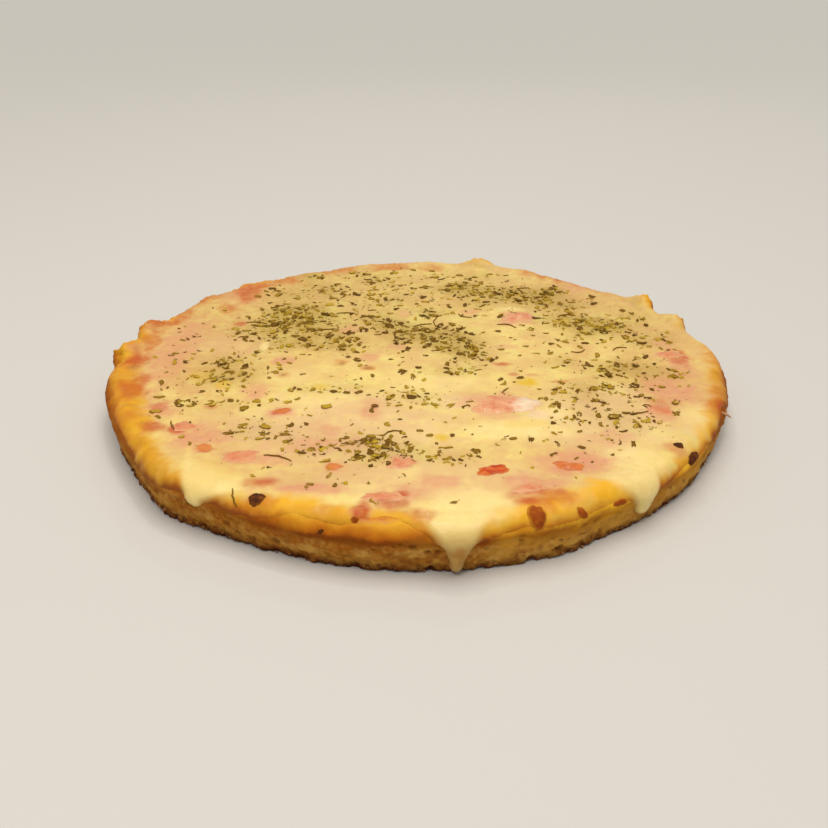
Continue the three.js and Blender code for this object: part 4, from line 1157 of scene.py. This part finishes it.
# Dust: eight-sided grains under a millimetre
DUST_SIZE = 0.34
dust_spots = strewn(DUST_SHARE, int(EVEN_LEAVES * DUST_SHARE))
dust_count = len(dust_spots)
grain_corners = np.array([[1, 0, 0], [0, 1, 0], [-1, 0, 0], [0, -1, 0], [0, 0, 1], [0, 0, -1.0]])
grain_faces = [[a, (a + 1) % 4, 4] for a in range(4)] + [[(a + 1) % 4, a, 5] for a in range(4)]
grain_size = np.exp(rng.normal(math.log(DUST_SIZE), 0.35, (dust_count, 1, 1)))
grain_shape = rng.uniform(0.5, 1.3, (dust_count, 6, 3)) * (1, 0.62, 0.35)
dust_corners = laid_bits(grain_corners[None] * grain_size * grain_shape, dust_spots, 0.05, 0.2)
dust_tint = np.repeat(rng.uniform(0.1, 0.9, dust_count), 6)

# Stems: middle, half length, direction in degrees and how far they bow
STEMS = [
    (9, 35, 7, 80, 2.2), (-66, 32, 4.5, -12, 0.7), (-51, -94, 2.8, 110, 0.3), (-78, -55, 3, 115, 0.3),
    (-42, -74, 4.4, -14, 0.8), (2, 30, 4, 20, 1.4), (-20, 37, 4, 8, 1), (36, 28, 4, -20, 1.2),
    (62, 38, 4, 12, 1.6), (-30, 42, 4, -6, 0.8), (72, -47, 3, 10, 0.4), (-60, 50, 3, 30, 0.6),
    (20, 40, 3.5, 140, 1.4), (48, 74, 3, 15, 0.5), (-8, -60, 3.4, 30, 1.5), (77, 5, 3, 20, 1.8),
    (75, 25, 3, 160, 1.6), (61, 5, 3, 200, 1.5), (30, -30, 2.5, 60, 0.3), (-38, 24, 5, 12, 0.6),
]
STEM_STEPS, STEM_SIDES, STEM_RADIUS, STEM_TINT = 9, 5, 0.26, 0.7


def tube_faces(first, sides, rings):
    """A closed tube's faces: its rings, numbered one after another, and its two ends."""
    wall = [quad[::-1] for quad in ring_faces(first, sides, rings)]
    last = first + (rings - 1) * sides
    return wall + [list(range(first, first + sides))[::-1], list(range(last, last + sides))]


leaf_all = copies(leaf_faces, count, 2 * per_side)
dust_all = copies(grain_faces, dust_count, 6, count * 2 * per_side)
start = count * 2 * per_side + dust_count * 6
stem_corners, stem_faces = [], []
share = np.linspace(-1, 1, STEM_STEPS)
thin = STEM_RADIUS * (1.15 - 0.5 * np.abs(share))
spoke = np.arange(STEM_SIDES) * 2 * math.pi / STEM_SIDES
for x, y, half, turn, bow in STEMS:
    bowed = bow * (1 - share**2) + 0.15 * np.sin(9 * share + x)
    here, up = on_cheese(np.stack(laid_out(x, y, turn, half * share, bowed), -1), 0.2)
    ahead = np.gradient(here, axis=0)
    ahead /= np.linalg.norm(ahead, axis=1)[:, None]
    side = np.cross(up, ahead)
    out = np.cos(spoke)[:, None] * side[:, None] + np.sin(spoke)[:, None] * up[:, None]
    stem_corners.append((here[:, None] + thin[:, None, None] * out).reshape(-1, 3))
    stem_faces += tube_faces(start, STEM_SIDES, STEM_STEPS)
    start += STEM_STEPS * STEM_SIDES
stem_corners = np.concatenate(stem_corners)
herb_corners = [leaf_corners.reshape(-1, 3), dust_corners.reshape(-1, 3), stem_corners]
oregano = make_piece(
    "oregano_bits", np.concatenate(herb_corners), leaf_all + dust_all + stem_faces,
    tint=np.concatenate([leaf_tint, dust_tint, np.full(len(stem_corners), STEM_TINT)]),
)

# Dried leaf: matt and brittle, olive green going to yellow-green or brown from bit to bit
dried_leaf, tree = new_finish("dried_oregano_leaf")
place = add(tree, "TexCoord", out=3)
tint = add(tree, "Attribute", attribute_name="tint", out=2)
vein = add(tree, "TexNoise", {"Vector": place, "Scale": PER_MM / 0.7, "Detail": 3.0})
blend = add(tree, "Math", {0: vein, 1: 0.3, 2: tint}, operation="MULTIPLY_ADD")
blend = add(tree, "MapRange", {0: blend, 1: 0.15, 2: 1.15, 3: 0.0, 4: 1.0})
stops = [(0.0, "#C4A22C"), (0.25, "#AE8A26"), (0.5, "#94721E"), (0.75, "#7A5818"), (1.0, "#644312")]
tone = add(tree, "ValToRGB", {0: blend}, stops=stops)
bump = add(tree, "Bump", {"Strength": 0.4, "Distance": 0.0002, "Height": vein})
surface = add(
    tree, "BsdfPrincipled",
    {"Base Color": tone, "Roughness": 0.72, "Normal": bump, "IOR": 1.45,
     "Specular IOR Level": 0.12, "Subsurface Weight": 0.2, "Subsurface Scale": 0.0004,
     "Subsurface Radius": (1.0, 0.8, 0.3)},
)
add(tree, "OutputMaterial", {0: surface})
oregano.data.materials.append(dried_leaf)
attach(oregano, "root")

# Crumbs at the foot
# Crumbs of dough that fried in the oil at the bottom of the pan and hang on to the lower
# edge, thickest at the front left.

CRUMBS = 260
CRUMB_SIZE = 0.33
crumb_angle = np.concatenate([
    rng.normal(226, 17, CRUMBS // 2), rng.normal(300, 20, CRUMBS // 4),
    rng.uniform(0, 360, CRUMBS - CRUMBS // 2 - CRUMBS // 4),
])
crumb_height = rng.uniform(0.25, 2.6, CRUMBS) * rng.uniform(0.4, 1, CRUMBS)
crumb_size = np.exp(rng.normal(math.log(CRUMB_SIZE), 0.4, CRUMBS))
# A crumb starts as a grain of dust whose faces are each split in four
sphere, halves, crumb_sides = list(grain_corners), {}, []
for a, b, c in grain_faces:
    middles = []
    for p, q in ((a, b), (b, c), (c, a)):
        key = (min(p, q), max(p, q))
        if key not in halves:
            halves[key] = len(sphere)
            middle = sphere[p] + sphere[q]
            sphere.append(middle / np.linalg.norm(middle))
        middles.append(halves[key])
    ab, bc, ca = middles
    crumb_sides += [[a, ab, ca], [ab, b, bc], [ca, bc, c], [ab, bc, ca]]
sphere = np.array(sphere)
foot_at = outline(crumb_angle) - SHOULDER + SHOULDER_ARC + wall_height(crumb_angle)
crumb_out, _ = section(crumb_angle, foot_at - np.maximum(crumb_height - FOOT_RADIUS, -1.5))
crumb_middle = turned(crumb_angle, crumb_out + 0.2 * crumb_size, crumb_height)
crumb_shape = rng.uniform(0.45, 1.3, (CRUMBS, len(sphere), 1)) * crumb_size[:, None, None]
crumb_corners = (crumb_middle[:, None] + sphere[None] * crumb_shape).reshape(-1, 3)
crumb_corners[:, 2] = np.maximum(crumb_corners[:, 2], 0)
crumbs = make_piece(
    "foot_crumbs", crumb_corners, copies(crumb_sides, CRUMBS, len(sphere)),
    tint=np.repeat(rng.uniform(0, 1, CRUMBS), len(sphere)),
)

# Fried crumb: dry and rough, from toasted tan to dark brown
fried_crumb, tree = new_finish("fried_crumb")
place = add(tree, "TexCoord", out=3)
tint = add(tree, "Attribute", attribute_name="tint", out=2)
rub = add(tree, "TexNoise", {"Vector": place, "Scale": PER_MM / 0.8, "Detail": 3.0})
blend = add(tree, "Math", {0: rub, 1: 0.5, 2: tint}, operation="MULTIPLY_ADD")
blend = add(tree, "MapRange", {0: blend, 1: 0.2, 2: 1.4, 3: 0.0, 4: 1.0})
tone = add(tree, "ValToRGB", {0: blend}, stops=[(0.0, "#4E260C"), (0.5, "#86501F"), (1.0, "#B07A3E")])
bump = add(tree, "Bump", {"Strength": 0.5, "Distance": 0.0003, "Height": rub})
surface = add(tree, "BsdfPrincipled", {"Base Color": tone, "Roughness": 0.85, "Normal": bump})
add(tree, "OutputMaterial", {0: surface})
crumbs.data.materials.append(fried_crumb)
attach(crumbs, "root")

# Sliver
# A thin crisp sliver of cheese, which ran out over the rim at the right and baked hard there,
# sticking out.

SLIVER_FROM, SLIVER_TO = np.array([99.6, -40.2, 12.6]), np.array([104.4, -42.0, 10.8])
SLIVER_WIDE, SLIVER_THICK = 0.7, 0.45
SLIVER_STEPS, SLIVER_SIDES = 14, 10
SLIVER_BOW = 0.7
sliver_way = SLIVER_TO - SLIVER_FROM
sliver_up = np.array([0, 0, 1])
sliver_side = np.cross(sliver_up, sliver_way)
sliver_side /= np.linalg.norm(sliver_side)
share = np.linspace(0, 1, SLIVER_STEPS)[:, None]
spoke = np.arange(SLIVER_SIDES) * 2 * math.pi / SLIVER_SIDES
middle = SLIVER_FROM + share * sliver_way + SLIVER_BOW * np.sin(2.6 * share) * sliver_up
wavy = (1 - 0.75 * share**3) * (1 + 0.2 * np.sin(3 * spoke + 5 * share))
sideways = (SLIVER_WIDE * wavy * np.cos(spoke))[..., None] * sliver_side
upwards = (SLIVER_THICK * wavy * np.sin(spoke))[..., None] * sliver_up
sliver_corners = (middle[:, None] + sideways + upwards).reshape(-1, 3)
sliver = make_piece("cheese_sliver", sliver_corners, tube_faces(0, SLIVER_SIDES, SLIVER_STEPS))

# Crisp baked cheese: pale tan going to brown in small spots, with a dull, oily sheen
crisp_cheese, tree = new_finish("crisp_baked_cheese")
place = add(tree, "TexCoord", out=3)
spot = add(tree, "TexNoise", {"Vector": place, "Scale": PER_MM / 0.9, "Detail": 3.0})
tone = add(tree, "ValToRGB", {0: spot}, stops=[(0.35, "#8A5A30"), (0.5, "#B08054"), (0.66, "#C49A70")])
bump = add(tree, "Bump", {"Strength": 0.4, "Distance": 0.0002, "Height": spot})
surface = add(
    tree, "BsdfPrincipled", {"Base Color": tone, "Roughness": 0.5, "Normal": bump, "IOR": 1.45}
)
add(tree, "OutputMaterial", {0: surface})
sliver.data.materials.append(crisp_cheese)
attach(sliver, "root")

# Floor and light
# A plain pale floor, one broad soft light overhead, a smaller one in front for the glints, and
# even light from all round.

FLOOR_HALF = 8.0
FLOOR_DOWN = 0.00005  # the floor lies just under the dough
floor_mesh = bpy.data.meshes.new("floor")
floor_corners = [(FLOOR_HALF * x, FLOOR_HALF * y, 0) for x, y in ((-1, -1), (1, -1), (1, 1), (-1, 1))]
floor_mesh.from_pydata(floor_corners, [], [[0, 1, 2, 3]])
floor = placed_in_scene("floor", floor_mesh)
floor.location.z = -FLOOR_DOWN
pale_floor, tree = new_finish("pale_matt_floor")
surface = add(tree, "BsdfPrincipled", {"Base Color": colour("#CDCBC6"), "Roughness": 0.9})
add(tree, "OutputMaterial", {0: surface})
floor_mesh.materials.append(pale_floor)


def soft_light(name, place, aim, size, watts, tint):
    """A square soft light that looks from one place to another."""
    data = bpy.data.lights.new(name, "AREA")
    data.shape, data.size, data.energy, data.color = "SQUARE", size, watts, colour(tint)[:3]
    light = placed_in_scene(name, data)
    light.location = place
    away = np.array(place) - np.array(aim)
    flat = math.hypot(away[0], away[1])
    light.rotation_euler = (math.atan2(flat, away[2]), 0, math.atan2(away[0], -away[1]))


overhead = bpy.data.lights.new("overhead", "SUN")
overhead.energy, overhead.angle, overhead.color = 1.88, math.radians(50), colour("#FFF8EE")[:3]
overhead_light = placed_in_scene("overhead", overhead)
overhead_light.rotation_euler = (math.radians(-4), math.radians(4), 0)
soft_light("front_glint", (-0.12, -0.42, 0.62), (0, -0.05, 0), 0.12, 1.0, "#FFF8F0")
soft_light("back_glint", (0.07, 0.72, 0.66), (0.02, 0, 0), 0.08, 0.4, "#FFF8F0")
soft_light("top_glint", (-0.05, 0.14, 0.5), (0, -0.04, 0), 0.025, 0.2, "#FFF8F0")
world = bpy.data.worlds.new("even_light")
world.use_nodes = True
background = world.node_tree.nodes["Background"]
background.inputs["Color"].default_value = colour("#F4F2EE")
background.inputs["Strength"].default_value = 0.4
bpy.context.scene.world = world
bpy.context.scene.view_settings.view_transform = "Standard"

# The camera stands where the photograph was taken from: its lens, its height and its distance
# are worked out from the round edge and the side's height.
CAMERA_FAR = 0.3028
CAMERA_RISE = math.radians(28.33)
PHOTO_LENS, PHOTO_WIDE = 830, 828  # in the photograph's pixels
SENSOR = 36
AIM_X, AIM_Y = (-1.44 + AXIS_X) * MM, (-18.6 + AXIS_Y) * MM
camera_data = bpy.data.cameras.new("camera")
camera_data.sensor_width = SENSOR
camera_data.lens = SENSOR * PHOTO_LENS / PHOTO_WIDE
camera_data.clip_start, camera_data.clip_end = 0.01, 40
camera = placed_in_scene("camera", camera_data)
camera.location = (
    AIM_X, AIM_Y - CAMERA_FAR * math.cos(CAMERA_RISE), CAMERA_FAR * math.sin(CAMERA_RISE)
)
camera.rotation_euler = (math.pi / 2 - CAMERA_RISE, 0, 0)
bpy.context.scene.camera = camera
